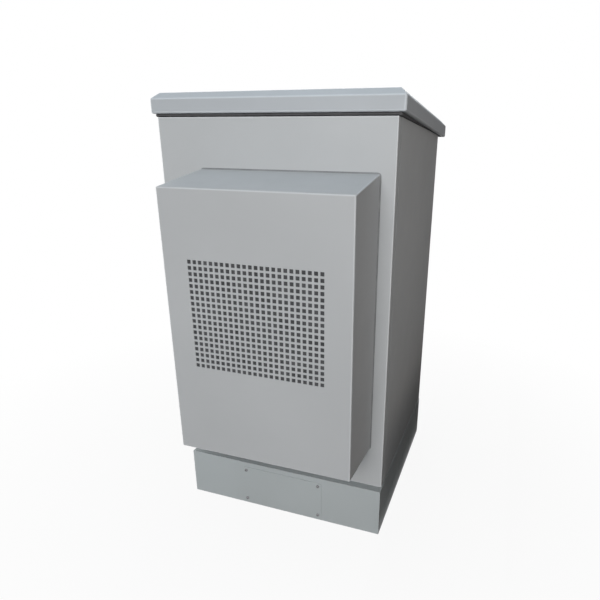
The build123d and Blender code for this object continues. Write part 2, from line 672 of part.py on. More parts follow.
def fan_rotor():
    """External-rotor hub with pitched blades, just clear of the motor's fixed base."""
    back = MOTOR_FACE - FAN_HUB_GAP
    rotor = round_y(HOOD_CENTRE_X, GRILLE_CENTRE_Z, FAN_HUB_DIAMETER, (back - FAN_HUB_DEPTH, back))
    root = FAN_HUB_DIAMETER / 2 - FAN_BLADE_SHEET
    tip = FAN_DIAMETER / 2 - FAN_TIP_CLEARANCE
    blade = Rot(Z=FAN_BLADE_PITCH) * Box(FAN_BLADE_WIDTH, FAN_BLADE_SHEET, tip - root)
    reach = math.hypot(FAN_BLADE_WIDTH / 2, tip) - tip
    blade = Pos(0, 0, (root + tip) / 2 - reach) * blade
    centre = Pos(HOOD_CENTRE_X, back - FAN_HUB_DEPTH / 2, GRILLE_CENTRE_Z)
    for index in range(FAN_BLADES):
        rotor += centre * Rot(Y=math.degrees(math.tau) * index / FAN_BLADES) * blade
    return rotor


def fan_guard():
    """Slotted sheet over the inner end of the duct."""
    depth = (DUCT_INNER, DUCT_INNER + SHEET)
    guard = block(around(HOOD_CENTRE_X, DUCT_WIDTH), depth, around(GRILLE_CENTRE_Z, DUCT_HEIGHT))
    pitch = (DUCT_HEIGHT - GUARD_BORDER * 2) / GUARD_SLOTS
    first = GRILLE_CENTRE_Z - pitch * (GUARD_SLOTS - 1) / 2
    long = around(HOOD_CENTRE_X, DUCT_WIDTH - GUARD_BORDER * 2)
    for index in range(GUARD_SLOTS):
        slot = around(first + pitch * index, pitch * GUARD_SLOT_SHARE)
        guard -= block(long, depth, slot)
    return guard


# Handle and rod lock

def handle_escutcheon():
    """Plate on the door with the bore that the handle's boss turns in."""
    plate = chamfer(Rectangle(ESCUTCHEON_WIDTH, ESCUTCHEON_HEIGHT).vertices(), ESCUTCHEON_CORNER)
    plate = Pos(0, ESCUTCHEON_ABOVE - ESCUTCHEON_HEIGHT / 2) * plate
    plate -= Circle(HANDLE_BOSS_DIAMETER / 2 + HANDLE_BOSS_CLEARANCE)
    return run(ALONG_Y, Pos(LOCK_CENTRE_X, LOCK_CENTRE_Z) * plate, (FRONT - ESCUTCHEON_DEPTH, FRONT))


def door_handle():
    """Boss and hanging arm, cast in one piece."""
    boss = round_y(LOCK_CENTRE_X, LOCK_CENTRE_Z, HANDLE_BOSS_DIAMETER, (HANDLE_FACE, HANDLE_SEAT))
    root = HANDLE_ARM_ROOT / 2
    tip = HANDLE_ARM_TIP / 2
    end = -HANDLE_ARM_LENGTH
    sides = Polyline((-tip, end), (-root, 0), (root, 0), (tip, end))
    arm = make_face(sides + ThreePointArc((tip, end), (0, end - tip), (-tip, end)))
    return boss + run(ALONG_Y, Pos(LOCK_CENTRE_X, LOCK_CENTRE_Z) * arm, (HANDLE_FACE, HANDLE_ARM_BACK))


def lock_crank():
    """Square spindle from the handle to a crank with two pins, one for each rod."""
    square = around(LOCK_CENTRE_X, SPINDLE_WIDTH), around(LOCK_CENTRE_Z, SPINDLE_WIDTH)
    crank = block(square[0], (HANDLE_SEAT, CRANK_FRONT), square[1])
    bar = Rot(Z=45) * Rectangle(CRANK_PIN_RADIUS * 2 + CRANK_WIDTH, CRANK_WIDTH)
    crank += run(ALONG_Y, Pos(LOCK_CENTRE_X, LOCK_CENTRE_Z) * bar, (CRANK_FRONT, CRANK_BACK))
    for turn in (-1, 1):
        x = LOCK_CENTRE_X + turn * CRANK_PIN_DROP
        z = LOCK_CENTRE_Z + turn * CRANK_PIN_DROP
        crank += round_y(x, z, CRANK_PIN_DIAMETER, (CRANK_BACK, ROD_BACK + CRANK_PIN_CLEARANCE))
    return crank


def lock_rod(far, turn):
    """Flat rod with a slotted plate on its crank pin, for the upper rod if turn is 1 and the lower if -1."""
    pin_height = LOCK_CENTRE_Z - turn * CRANK_PIN_DROP
    inner = LOCK_CENTRE_X - turn * ROD_PLATE_GAP / 2
    reach = CRANK_PIN_DIAMETER / 2 + CRANK_PIN_CLEARANCE
    near = LOCK_CENTRE_X - turn * (CRANK_PIN_DROP - reach)
    away = LOCK_CENTRE_X - turn * (CRANK_PIN_RADIUS + reach)
    depth = (ROD_FRONT, ROD_BACK)
    rod = block(around(LOCK_CENTRE_X - turn * ROD_OFFSET, ROD_WIDTH), depth, between(pin_height, far))
    rod += block(between(inner, inner - turn * ROD_PLATE_WIDTH), depth, around(pin_height, ROD_PLATE_HEIGHT))
    return rod - block(between(near, away), depth, around(pin_height, reach * 2))


def rod_guides():
    """Blocks on the door that hold each rod near its end and near the crank."""
    gap = GUIDE_CLEARANCE * 2
    passage = around((ROD_FRONT + ROD_BACK) / 2, ROD_SHEET + gap)
    depth = (DOOR_INSIDE, ROD_BACK + GUIDE_CLEARANCE + GUIDE_WALL)
    places = (
        (UPPER_ROD_X, UPPER_ROD_END - GUIDE_END_DISTANCE),
        (UPPER_ROD_X, LOCK_CENTRE_Z + GUIDE_CRANK_DISTANCE),
        (LOWER_ROD_X, LOCK_CENTRE_Z - GUIDE_CRANK_DISTANCE),
        (LOWER_ROD_X, LOWER_ROD_END + GUIDE_END_DISTANCE),
    )
    guides = []
    for x, z in places:
        height = around(z, GUIDE_HEIGHT)
        guide = block(around(x, GUIDE_WIDTH), depth, height)
        guides.append(guide - block(around(x, ROD_WIDTH + gap), passage, height))
    return Compound(guides)


# Rack

def rack_rail(turn, face, back):
    """Angle with its face across the rack and its side running away from the face."""
    inner = turn * RACK_OPENING / 2
    outer = inner + turn * RAIL_FACE
    side = Side.LEFT if turn * back > 0 else Side.RIGHT
    points = [(inner, face), (outer, face), (outer, face + back * RAIL_SIDE)]
    return run(ALONG_Z, folded(points, RAIL_SHEET, side), (RAIL_LOW, RAIL_TOP))


def crossbar(face, back, seat, turn):
    """Channel across the cabinet that the rails are bolted to, open towards the sheet it is fixed on."""
    far = face + back * CROSSBAR_DEPTH
    crown = seat + turn * CROSSBAR_HEIGHT
    side = Side.RIGHT if turn * back > 0 else Side.LEFT
    points = [(face, seat), (face, crown), (far, crown), (far, seat)]
    ends = (WALL_LEFT + INSULATION, WALL_RIGHT - INSULATION)
    return run(ALONG_X, folded(points, CROSSBAR_SHEET, side), ends)


def insulation_side(wall, turn):
    front = FRAME_FRONT + FRAME_RETURN + INSULATION_MARGIN
    back = PLATE_REAR - INSULATION_MARGIN
    return block(between(wall, wall - turn * INSULATION), (front, back), (FLOOR_TOP, CEILING))


def insulation_rear():
    """Board on the inside of the rear cover."""
    reach = COVER_RIGHT - SHEET - INSULATION_MARGIN
    height = (FLOOR_TOP + INSULATION_MARGIN, CEILING - INSULATION_MARGIN)
    return block((-reach, reach), (COVER_BACK - INSULATION, COVER_BACK), height)


def earth_bar():
    low = FLOOR_TOP + STANDOFF_HEIGHT
    depth = around(EARTH_BAR_Y, EARTH_BAR_WIDTH)
    return block(around(0, EARTH_BAR_LENGTH), depth, (low, low + EARTH_BAR_SHEET))


def earth_bar_standoffs():
    height = (FLOOR_TOP, FLOOR_TOP + STANDOFF_HEIGHT)
    depth = around(EARTH_BAR_Y, STANDOFF_WIDTH)
    return Compound([block(around(x, STANDOFF_WIDTH), depth, height) for x in around(0, STANDOFF_SPACING)])


# Every node by name

NODES = {
    "plinth_front": plinth_front(),
    "plinth_rear": plinth_beam(PLINTH_REAR, 1),
    "plinth_left": plinth_side(PLINTH_LEFT, -1),
    "plinth_right": plinth_side(PLINTH_RIGHT, 1),
    "plinth_access_plate": plinth_access_plate(),
    "plinth_plate_screws": plinth_plate_screws(),
    "floor_plate": floor_plate(),
    "cable_entry_frame": cable_entry_frame(),
    "cable_entry_seal": cable_entry_seal(),
    "left_side_panel": side_panel(LEFT, -1),
    "right_side_panel": side_panel(RIGHT, 1),
    "rear_panel": rear_panel(),
    "top_plate": top_plate(),
    "roof_bearer_left": roof_bearer(-BEARER_X),
    "roof_bearer_right": roof_bearer(BEARER_X),
    "roof_cap": roof_cap(),
    "frame_left_post": frame_post(WALL_LEFT, LIP_LEFT, -1),
    "frame_right_post": frame_post(WALL_RIGHT, LIP_RIGHT, 1),
    "frame_head": frame_beam(CEILING, LIP_TOP, Side.LEFT),
    "frame_sill": frame_beam(FLOOR_TOP, LIP_LOW, Side.RIGHT),
    "keeper_top": keeper(LIP_TOP - SHEET, UPPER_ROD_X, 1),
    "keeper_bottom": keeper(LIP_LOW + SHEET, LOWER_ROD_X, -1),
    "hinge_pintles": hinge_pintles(),
    "rack_rail_front_left": rack_rail(-1, RAIL_FRONT, 1),
    "rack_rail_front_right": rack_rail(1, RAIL_FRONT, 1),
    "rack_rail_rear_left": rack_rail(-1, RAIL_REAR, -1),
    "rack_rail_rear_right": rack_rail(1, RAIL_REAR, -1),
    "crossbar_front_lower": crossbar(RAIL_FRONT, 1, FLOOR_TOP, 1),
    "crossbar_front_upper": crossbar(RAIL_FRONT, 1, CEILING, -1),
    "crossbar_rear_lower": crossbar(RAIL_REAR, -1, FLOOR_TOP, 1),
    "crossbar_rear_upper": crossbar(RAIL_REAR, -1, CEILING, -1),
    "insulation_left": insulation_side(WALL_LEFT, -1),
    "insulation_right": insulation_side(WALL_RIGHT, 1),
    "insulation_rear": insulation_rear(),
    "earth_bar": earth_bar(),
    "earth_bar_standoffs": earth_bar_standoffs(),
    "door_panel": door_panel(),
    "door_gasket": door_gasket(),
    "hinge_goosenecks": hinge_goosenecks(),
    "hood_shell": hood_shell(),
    "hood_front": hood_front(),
    "filter_mat": filter_mat(),
    "fan_duct": fan_duct(),
    "fan_plate": fan_plate(),
    "fan_strut": fan_strut(),
    "fan_motor": fan_motor(),
    "fan_rotor": fan_rotor(),
    "fan_guard": fan_guard(),
    "handle_escutcheon": handle_escutcheon(),
    "door_handle": door_handle(),
    "lock_crank": lock_crank(),
    "upper_lock_rod": lock_rod(UPPER_ROD_END, 1),
    "lower_lock_rod": lock_rod(LOWER_ROD_END, -1),
    "rod_guides": rod_guides(),
}

os.makedirs("parts", exist_ok=True)
for name, node in NODES.items():
    export_step(node, os.path.join("parts", name + ".step"))
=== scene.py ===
# Looks of the roadside utility cabinet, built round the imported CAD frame.
# Metres, in the same frame as the CAD: X to the right seen from the front, Y to the back, Z up.
import json
import math

import bmesh
import bpy
from mathutils import Matrix, Vector


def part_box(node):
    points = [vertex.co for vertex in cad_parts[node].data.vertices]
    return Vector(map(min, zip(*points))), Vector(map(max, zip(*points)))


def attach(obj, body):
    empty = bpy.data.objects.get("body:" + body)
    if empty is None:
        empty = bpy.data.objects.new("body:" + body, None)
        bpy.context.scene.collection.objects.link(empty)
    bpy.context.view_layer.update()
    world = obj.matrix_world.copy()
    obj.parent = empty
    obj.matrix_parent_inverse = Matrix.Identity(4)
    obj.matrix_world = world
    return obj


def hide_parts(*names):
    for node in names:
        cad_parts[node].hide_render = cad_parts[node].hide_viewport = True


FULL_TURN = math.tau
HALF_TURN = math.tau / 2
QUARTER_TURN = math.tau / 4

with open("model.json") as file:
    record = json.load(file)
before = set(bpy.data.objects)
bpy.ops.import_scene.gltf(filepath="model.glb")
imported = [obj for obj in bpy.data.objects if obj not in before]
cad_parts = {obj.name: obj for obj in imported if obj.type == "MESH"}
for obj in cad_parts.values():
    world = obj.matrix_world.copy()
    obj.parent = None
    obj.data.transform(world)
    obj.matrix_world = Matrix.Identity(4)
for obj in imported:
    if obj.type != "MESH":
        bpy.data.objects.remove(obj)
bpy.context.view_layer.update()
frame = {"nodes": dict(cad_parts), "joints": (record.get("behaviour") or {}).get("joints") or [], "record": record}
NODES = frame["nodes"]


# Materials: a texture's scale counts its marks in a metre, and a bump's depth is in metres

# The fold layer marks where the paint gets its painted highlight.
FOLD_LAYER = "fold"
MIX_FIRST = 6
MIX_SECOND = 7
MIX_RESULT = 2
MIDDLE_RANGE = (0.3, 0.7)
CELL_RANGE = (0.1, 0.9)


def start_material(name, colour, roughness, metallic=0.0, specular=0.5):
    """A named material with its plain values on the shader's own sockets."""
    material = bpy.data.materials.new(name)
    material.use_nodes = True
    tree = material.node_tree
    shader = tree.nodes["Principled BSDF"]
    shader.inputs["Base Color"].default_value = (*colour, 1.0)
    shader.inputs["Roughness"].default_value = roughness
    shader.inputs["Metallic"].default_value = metallic
    shader.inputs["Specular IOR Level"].default_value = specular
    return material, tree, shader


def place_vector(tree, stretch=(1.0, 1.0, 1.0)):
    """Position on the object in metres, stretched along each axis."""
    place = tree.nodes.new("ShaderNodeTexCoord").outputs["Object"]
    mapping = tree.nodes.new("ShaderNodeMapping")
    mapping.inputs["Scale"].default_value = stretch
    tree.links.new(place, mapping.inputs["Vector"])
    return mapping.outputs["Vector"]


def noise(tree, vector, scale, detail=2.0):
    """Soft marks of one scale, from nought to one."""
    node = tree.nodes.new("ShaderNodeTexNoise")
    node.inputs["Scale"].default_value = scale
    node.inputs["Detail"].default_value = detail
    tree.links.new(vector, node.inputs["Vector"])
    return node.outputs["Fac"]


def cells(tree, vector, scale, output="Color"):
    """Cells of one scale, each with its own tone, or the distance from their middles."""
    node = tree.nodes.new("ShaderNodeTexVoronoi")
    node.inputs["Scale"].default_value = scale
    tree.links.new(vector, node.inputs["Vector"])
    return node.outputs[output]


def spread(tree, value, low, high, span=MIDDLE_RANGE):
    """A texture's range stretched to lie between two values."""
    node = tree.nodes.new("ShaderNodeMapRange")
    node.inputs["From Min"].default_value = span[0]
    node.inputs["From Max"].default_value = span[1]
    node.inputs["To Min"].default_value = low
    node.inputs["To Max"].default_value = high
    tree.links.new(value, node.inputs["Value"])
    return node.outputs["Result"]


def scaled(colour, share):
    """A colour times a share."""
    return tuple(channel * share for channel in colour)


def tint(tree, value, colour, shares, span=MIDDLE_RANGE):
    """A colour that goes from a darker to a lighter share of itself with a texture's value."""
    node = tree.nodes.new("ShaderNodeValToRGB")
    for stop, share, position in zip(node.color_ramp.elements, shares, span):
        stop.position = position
        stop.color = (*scaled(colour, share), 1.0)
    tree.links.new(value, node.inputs["Fac"])
    return node.outputs["Color"]


def raise_surface(tree, shader, heights):
    """Bumps from (height, depth in metres) pairs, one on another."""
    below = None
    for height, depth in heights:
        node = tree.nodes.new("ShaderNodeBump")
        node.inputs["Distance"].default_value = depth
        tree.links.new(height, node.inputs["Height"])
        if below is not None:
            tree.links.new(below, node.inputs["Normal"])
        below = node.outputs["Normal"]
    tree.links.new(below, shader.inputs["Normal"])


def mixed(tree, share, first, second):
    """Two colours mixed by a share; the second is plain."""
    node = tree.nodes.new("ShaderNodeMix")
    node.data_type = "RGBA"
    tree.links.new(share, node.inputs["Factor"])
    tree.links.new(first, node.inputs[MIX_FIRST])
    node.inputs[MIX_SECOND].default_value = (*second, 1.0)
    return node.outputs[MIX_RESULT]


def folds(tree):
    """Mask of the painted highlight: one on the rounded folds of a sheet and on the side walls' lower edges, and
    nought elsewhere.
    """
    node = tree.nodes.new("ShaderNodeAttribute")
    node.attribute_name = FOLD_LAYER
    return node.outputs["Fac"]


# Share by which the paint is made lighter on the folds: a painted highlight.
PAINTED_HIGHLIGHT_SHARE = 1.25
PAINT_SPECULAR = 0.32
PAINT_CLOUDS = 2.6
PAINT_CLOUD_SHARES = (0.965, 1.03)
PAINT_GLOSS = 11.0
PAINT_SAG = 26.0
PAINT_SAG_DEPTH = 0.0006
PAINT_PEEL = 620.0


def powder_coat(name, colour, smooth=0.46, rough=0.58, grain=0.00012):
    """Baked powder paint: an orange-peel skin, slight clouds, a painted highlight that lightens the folds, and
    patches of gloss.
    """
    material, tree, shader = start_material(name, colour, rough, specular=PAINT_SPECULAR)
    vector = place_vector(tree)
    clouds = noise(tree, vector, PAINT_CLOUDS, detail=4.0)
    body = tint(tree, clouds, colour, PAINT_CLOUD_SHARES)
    # Painted highlight: the rounded folds get a lighter share of the paint colour, standing in for light caught on
    # the folds.
    painted_highlight = scaled(colour, PAINTED_HIGHLIGHT_SHARE)
    tree.links.new(mixed(tree, folds(tree), body, painted_highlight), shader.inputs["Base Color"])
    gloss = noise(tree, vector, PAINT_GLOSS, detail=3.0)
    tree.links.new(spread(tree, gloss, smooth, rough), shader.inputs["Roughness"])
    sag = noise(tree, vector, PAINT_SAG, detail=1.0)
    peel = noise(tree, vector, PAINT_PEEL, detail=1.5)
    raise_surface(tree, shader, [(sag, PAINT_SAG_DEPTH), (peel, grain)])
    return material


ZINC_SPANGLE = 70.0
ZINC_SHARES = (0.8, 1.12)
ZINC_ROUGHNESS = (0.42, 0.58)
ZINC_WANDER = 40.0
ZINC_WANDER_REACH = 0.012
ZINC_GRAIN = 300.0
ZINC_GRAIN_DEPTH = 0.00006


def zinc_sheet(name, colour):
    """Hot-dip zinc with a crystal pattern that differs from grain to grain."""
    material, tree, shader = start_material(name, colour, sum(ZINC_ROUGHNESS) / 2, metallic=1.0)
    vector = place_vector(tree)
    wander = tree.nodes.new("ShaderNodeTexNoise")
    wander.inputs["Scale"].default_value = ZINC_WANDER
    tree.links.new(vector, wander.inputs["Vector"])
    warp = tree.nodes.new("ShaderNodeVectorMath")
    warp.operation = "MULTIPLY_ADD"
    tree.links.new(wander.outputs["Color"], warp.inputs[0])
    warp.inputs[1].default_value = (ZINC_WANDER_REACH, ZINC_WANDER_REACH, ZINC_WANDER_REACH)
    tree.links.new(vector, warp.inputs[2])
    grains = cells(tree, warp.outputs["Vector"], ZINC_SPANGLE)
    tree.links.new(tint(tree, grains, colour, ZINC_SHARES, CELL_RANGE), shader.inputs["Base Color"])
    tree.links.new(spread(tree, grains, *ZINC_ROUGHNESS, CELL_RANGE), shader.inputs["Roughness"])
    raise_surface(tree, shader, [(noise(tree, vector, ZINC_GRAIN), ZINC_GRAIN_DEPTH)])
    return material


LINES_UPRIGHT = (30.0, 30.0, 900.0)
LINES_ACROSS = (900.0, 30.0, 30.0)
LINE_DEPTH = 0.00003
STAIN_MARKS = 38.0
STAIN_SHARES = (0.86, 1.06)


def plated_steel(name, colour, smooth, rough, lines_scale=LINES_UPRIGHT):
    """Plated or drawn metal with fine lines."""
    material, tree, shader = start_material(name, colour, rough, metallic=1.0)
    lines = noise(tree, place_vector(tree, lines_scale), 1.0, detail=3.0)
    stain = noise(tree, place_vector(tree), STAIN_MARKS, detail=4.0)
    tree.links.new(tint(tree, stain, colour, STAIN_SHARES), shader.inputs["Base Color"])
    tree.links.new(spread(tree, lines, smooth, rough), shader.inputs["Roughness"])
    raise_surface(tree, shader, [(lines, LINE_DEPTH)])
    return material


FOAM_ROUGHNESS = 0.95
FOAM_SPECULAR = 0.2
FOAM_TONES = 30.0
FOAM_SHARES = (0.75, 1.25)


def foam(name, colour, pore_scale, depth):
    """Foam with open or closed cells."""
    material, tree, shader = start_material(name, colour, FOAM_ROUGHNESS, specular=FOAM_SPECULAR)
    vector = place_vector(tree)
    pores = cells(tree, vector, pore_scale, "Distance")
    tone = noise(tree, vector, FOAM_TONES, detail=4.0)
    tree.links.new(tint(tree, tone, colour, FOAM_SHARES), shader.inputs["Base Color"])
    raise_surface(tree, shader, [(tone, depth), (pores, depth)])
    return material


MOULD_SPECULAR = 0.4
MOULD_TONES = 22.0
MOULD_SHARES = (0.85, 1.18)
MOULD_GLOSS = 60.0
MOULD_GRAIN = 1500.0
MOULD_GRAIN_DEPTH = 0.00008


def moulded(name, colour, smooth=0.4, rough=0.58):
    """Moulded plastic or rubber with an eroded fine texture."""
    material, tree, shader = start_material(name, colour, rough, specular=MOULD_SPECULAR)
    vector = place_vector(tree)
    tone = noise(tree, vector, MOULD_TONES, detail=3.0)
    tree.links.new(tint(tree, tone, colour, MOULD_SHARES), shader.inputs["Base Color"])
    gloss = noise(tree, vector, MOULD_GLOSS)
    tree.links.new(spread(tree, gloss, smooth, rough), shader.inputs["Roughness"])
    raise_surface(tree, shader, [(noise(tree, vector, MOULD_GRAIN, detail=1.0), MOULD_GRAIN_DEPTH)])
    return material


MATERIALS = {
    "cabinet_paint": powder_coat("cabinet_paint", (0.450, 0.466, 0.478)),
    "lid_paint": powder_coat("lid_paint", (0.415, 0.440, 0.465)),
    "hood_paint": powder_coat("hood_paint", (0.415, 0.428, 0.440)),
    "plinth_paint": powder_coat("plinth_paint", (0.415, 0.450, 0.462)),
    "handle_paint": powder_coat("handle_paint", (0.030, 0.031, 0.033), 0.42, 0.52, 0.0002),
    "screw_steel": plated_steel("screw_steel", (0.25, 0.25, 0.26), 0.35, 0.5),
    "zinc_steel": zinc_sheet("zinc_steel", (0.43, 0.445, 0.46)),
    "rail_steel": plated_steel("rail_steel", (0.50, 0.51, 0.52), 0.34, 0.5),
    "lock_steel": plated_steel("lock_steel", (0.44, 0.43, 0.40), 0.34, 0.5),
    "insulation_foam": foam("insulation_foam", (0.055, 0.056, 0.060), 900.0, 0.0006),
    "filter_foam": foam("filter_foam", (0.078, 0.080, 0.084), 420.0, 0.0016),
    "seal_rubber": moulded("seal_rubber", (0.018, 0.018, 0.019), 0.6, 0.75),
    "copper": plated_steel("copper", (0.72, 0.40, 0.26), 0.24, 0.4, LINES_ACROSS),
    "insulator_plastic": moulded("insulator_plastic", (0.030, 0.030, 0.032)),
    "fan_plastic": moulded("fan_plastic", (0.022, 0.022, 0.023)),
}
GREY_SEALANT = moulded("grey_sealant", (0.200, 0.206, 0.212), 0.5, 0.65)
GREY_RUBBER = moulded("grey_rubber", (0.056, 0.057, 0.060), 0.6, 0.75)


# Finish of the CAD nodes: paint or metal by slot, and softened sheet edges

EDGE_ROUND = 0.0006
EDGE_ROUNDS = {
    "door_handle": 0.003,
    "handle_escutcheon": 0.0018,
    "rod_guides": 0.001,
    "fan_motor": 0.0015,
    "earth_bar_standoffs": 0.0015,
}
EDGE_SEGMENTS = 2
EDGE_ANGLE = math.radians(35.0)
WELD_DISTANCE = 0.00001


def dress(node, material, width):
    """Gives a CAD node its material and rounds its sharp edges a little."""
    node.data.materials.clear()
    node.data.materials.append(material)
    weld = node.modifiers.new("weld", "WELD")
    weld.merge_threshold = WELD_DISTANCE
    bevel = node.modifiers.new("edges", "BEVEL")
    bevel.width = width
    bevel.segments = EDGE_SEGMENTS
    bevel.limit_method = "ANGLE"
    bevel.angle_limit = EDGE_ANGLE
    bevel.harden_normals = True


for subpart in frame["record"]["subparts"]:
    node_name = subpart["node"]
    dress(NODES[node_name], MATERIALS[subpart["material_slot"]], EDGE_ROUNDS.get(node_name, EDGE_ROUND))


# Small shapes for the pieces that the CAD leaves out

RIGHT_WAY = Vector((1.0, 0.0, 0.0))
BACK_WAY = Vector((0.0, 1.0, 0.0))
UP_WAY = Vector((0.0, 0.0, 1.0))
SMOOTH_ANGLE = math.radians(40.0)
TURNED_SIDES = 24


def new_piece(name, shape, slot, body, replaces=(), closed=True, material=None):
    """Turns a built shape into an object with a slot's material, or its own, that rides on a body."""
    if closed:
        bmesh.ops.recalc_face_normals(shape, faces=shape.faces)
    mesh = bpy.data.meshes.new(name)
    shape.to_mesh(mesh)
    shape.free()
    mesh.materials.append(material or MATERIALS[slot])
    piece = bpy.data.objects.new(name, mesh)
    bpy.context.scene.collection.objects.link(piece)
    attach(piece, body)
    if replaces:
        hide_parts(*replaces)
    return piece


def smooth(piece):
    """Smooth shading across all but sharp edges."""
    piece.data.shade_smooth()
    piece.data.set_sharp_from_angle(angle=SMOOTH_ANGLE)


def facing(point, direction):
    """Place at a point whose own Z axis looks in a direction."""
    turn = Vector(direction).to_track_quat("Z", "Y").to_matrix().to_4x4()
    return Matrix.Translation(point) @ turn


def six_sided(across):
    """Radius of a hexagon at an angle, from its width across the flats."""
    def radius(angle):
        part = angle % (FULL_TURN / 6) - FULL_TURN / 12
        return across / 2 / math.cos(part)
    return radius


def four_sided(length, width):
    """Radius of a rectangle at an angle."""
    def radius(angle):
        along = abs(math.cos(angle)) / (length / 2)
        across = abs(math.sin(angle)) / (width / 2)
        return 1.0 / max(along, across)
    return radius


def walls(shape, loops, leave_out=None):
    """Faces between neighbouring loops of corners, but for the (pair, side) that is left out."""
    for number, (near, far) in enumerate(zip(loops, loops[1:])):
        for index in range(len(near)):
            if (number, index) == leave_out:
                continue
            after = (index + 1) % len(near)
            shape.faces.new((near[index], near[after], far[after], far[index]))


def closed_walls(shape, loops):
    """Faces between neighbouring loops, with a face on the first and the last."""
    walls(shape, loops)
    shape.faces.new(list(reversed(loops[0])))
    shape.faces.new(loops[-1])


def turned(shape, rings, place, sides=TURNED_SIDES):
    """Closed surface through rings of (radius, height) about the place's own Z axis."""
    loops = []
    for radius, height in rings:
        loop = []
        for index in range(sides):
            angle = FULL_TURN * index / sides
            reach = radius(angle) if callable(radius) else radius
            point = place @ Vector((reach * math.cos(angle), reach * math.sin(angle), height))
            loop.append(shape.verts.new(point))
        loops.append(loop)
    closed_walls(shape, loops)


BUTTON_SHARES = ((1.0, 0.0), (1.0, 0.3), (0.94, 0.58), (0.8, 0.84), (0.62, 1.0))
SOCKET_SHARE = 0.42
SOCKET_FLOOR_SHARE = 0.35


def button_screw(shape, place, diameter, height):
    """Domed head with a hexagon socket."""
    rings = [(diameter / 2 * out, height * up) for out, up in BUTTON_SHARES]
    socket = six_sided(diameter * SOCKET_SHARE)
    rings += [(socket, height), (socket, height * SOCKET_FLOOR_SHARE)]
    turned(shape, rings, place)


WASHER_EDGE_SHARE = 0.25
HEAD_SIDE_SHARE = 0.84
HEAD_TOP_SHARE = 0.47


def hex_bolt(shape, place, across, height, washer, sheet):
    """Hexagon head on a plain washer."""
    edge = sheet * WASHER_EDGE_SHARE
    head = six_sided(across)
    turned(shape, [
        (washer / 2, 0.0), (washer / 2, sheet - edge), (washer / 2 - edge, sheet),
        (head, sheet), (head, sheet + height * HEAD_SIDE_SHARE), (across * HEAD_TOP_SHARE, sheet + height),
    ], place)


BLOCK_SEGMENTS = 2
ROUND_PROFILE = 0.5


def rounded_block(shape, low, high, edge):
    """Block between two corners with rounded edges."""
    low, high = Vector(low), Vector(high)
    place = Matrix.Translation((low + high) / 2) @ Matrix.Diagonal((*(high - low), 1.0))
    made = bmesh.ops.create_cube(shape, size=1.0, matrix=place)
    edges = {line for corner in made["verts"] for line in corner.link_edges}
    bmesh.ops.bevel(shape, geom=list(edges), offset=edge, segments=BLOCK_SEGMENTS,
                    profile=ROUND_PROFILE, affect="EDGES")


def even_places(low, high, count):
    """Evenly spaced values from low to high."""
    return [low + (high - low) * index / (count - 1) for index in range(count)]


# Folded sheets, with the rounded folds that the CAD leaves sharp

SHEET = 0.0015
FOLD_RADIUS = 0.0025
FOLD_STEPS = 5
FOLD_FADE = 0.001
FACE_INSET = FOLD_RADIUS + 2 * FOLD_FADE
CORNER_STEPS = 5
PER_CORNER = CORNER_STEPS + 3
LEAST_CORNER = 0.0003
SAME_PLACE = 0.00005


def folded_line(points, radius=FOLD_RADIUS):
    """Open line with rounded corners in a plane, each point with one on a fold and nought elsewhere."""
    points = [Vector(point) for point in points]
    line = [(points[0], 0.0)]
    for before, corner, after in zip(points, points[1:], points[2:]):
        back = (before - corner).normalized()
        forth = (after - corner).normalized()
        half = back.angle(forth) / 2
        reach = radius / math.tan(half)
        middle = corner + (back + forth).normalized() * (radius / math.sin(half))
        start = corner + back * reach - middle
        end = corner + forth * reach - middle
        turn = start.angle(end)
        line.append((corner + back * (reach + FOLD_FADE), 0.0))
        for step in range(FOLD_STEPS + 1):
            share = step / FOLD_STEPS
            blend = start * math.sin((1.0 - share) * turn) + end * math.sin(share * turn)
            line.append((middle + blend / math.sin(turn), 1.0))
        line.append((corner + forth * (reach + FOLD_FADE), 0.0))
    return line + [(points[-1], 0.0)]


def rectangle_ring(low, high, inset, corner):
    """Points round a rectangle drawn in by an inset, with rounded corners, from the low left one."""
    radius = max(corner - inset, LEAST_CORNER)
    fold = 1.0 if radius > LEAST_CORNER else 0.0
    set_in = inset + radius
    left, right = low[0] + set_in, high[0] - set_in
    bottom, top = low[1] + set_in, high[1] - set_in
    ring = []
    for quarter, middle in ((2, (left, bottom)), (3, (right, bottom)), (0, (right, top)), (1, (left, top))):
        middle = Vector(middle)
        first = QUARTER_TURN * quarter
        starts = Vector((math.cos(first), math.sin(first)))
        ends = Vector((-starts.y, starts.x))
        ring.append((middle + starts * radius - ends * FOLD_FADE, 0.0))
        for step in range(CORNER_STEPS + 1):
            angle = QUARTER_TURN * step / CORNER_STEPS
            way = starts * math.cos(angle) + ends * math.sin(angle)
            ring.append((middle + way * radius, fold))
        ring.append((middle + ends * radius - starts * FOLD_FADE, 0.0))
    return ring


def skin_rings(shape, rings, leave_out=None):
    """Walls between rings of (point, fold) pairs, but for the (pair, side) that is left out."""
    layer = shape.verts.layers.float.get(FOLD_LAYER) or shape.verts.layers.float.new(FOLD_LAYER)
    loops = []
    for ring in rings:
        loop = [shape.verts.new(point) for point, fold in ring]
        for corner, (point, fold) in zip(loop, ring):
            corner[layer] = fold
        loops.append(loop)
    walls(shape, loops, leave_out)
    return loops


def fill_with_holes(shape, loop, holes=()):
    """Flat face inside a loop of corners, with holes given as loops of points."""
    pairs = list(zip(loop, loop[1:] + loop[:1]))
    for hole in holes:
        corners = [shape.verts.new(point) for point in hole]
        pairs += zip(corners, corners[1:] + corners[:1])
    edges = [shape.edges.get(pair) or shape.edges.new(pair) for pair in pairs]
    bmesh.ops.triangle_fill(shape, edges=edges, use_beauty=True)


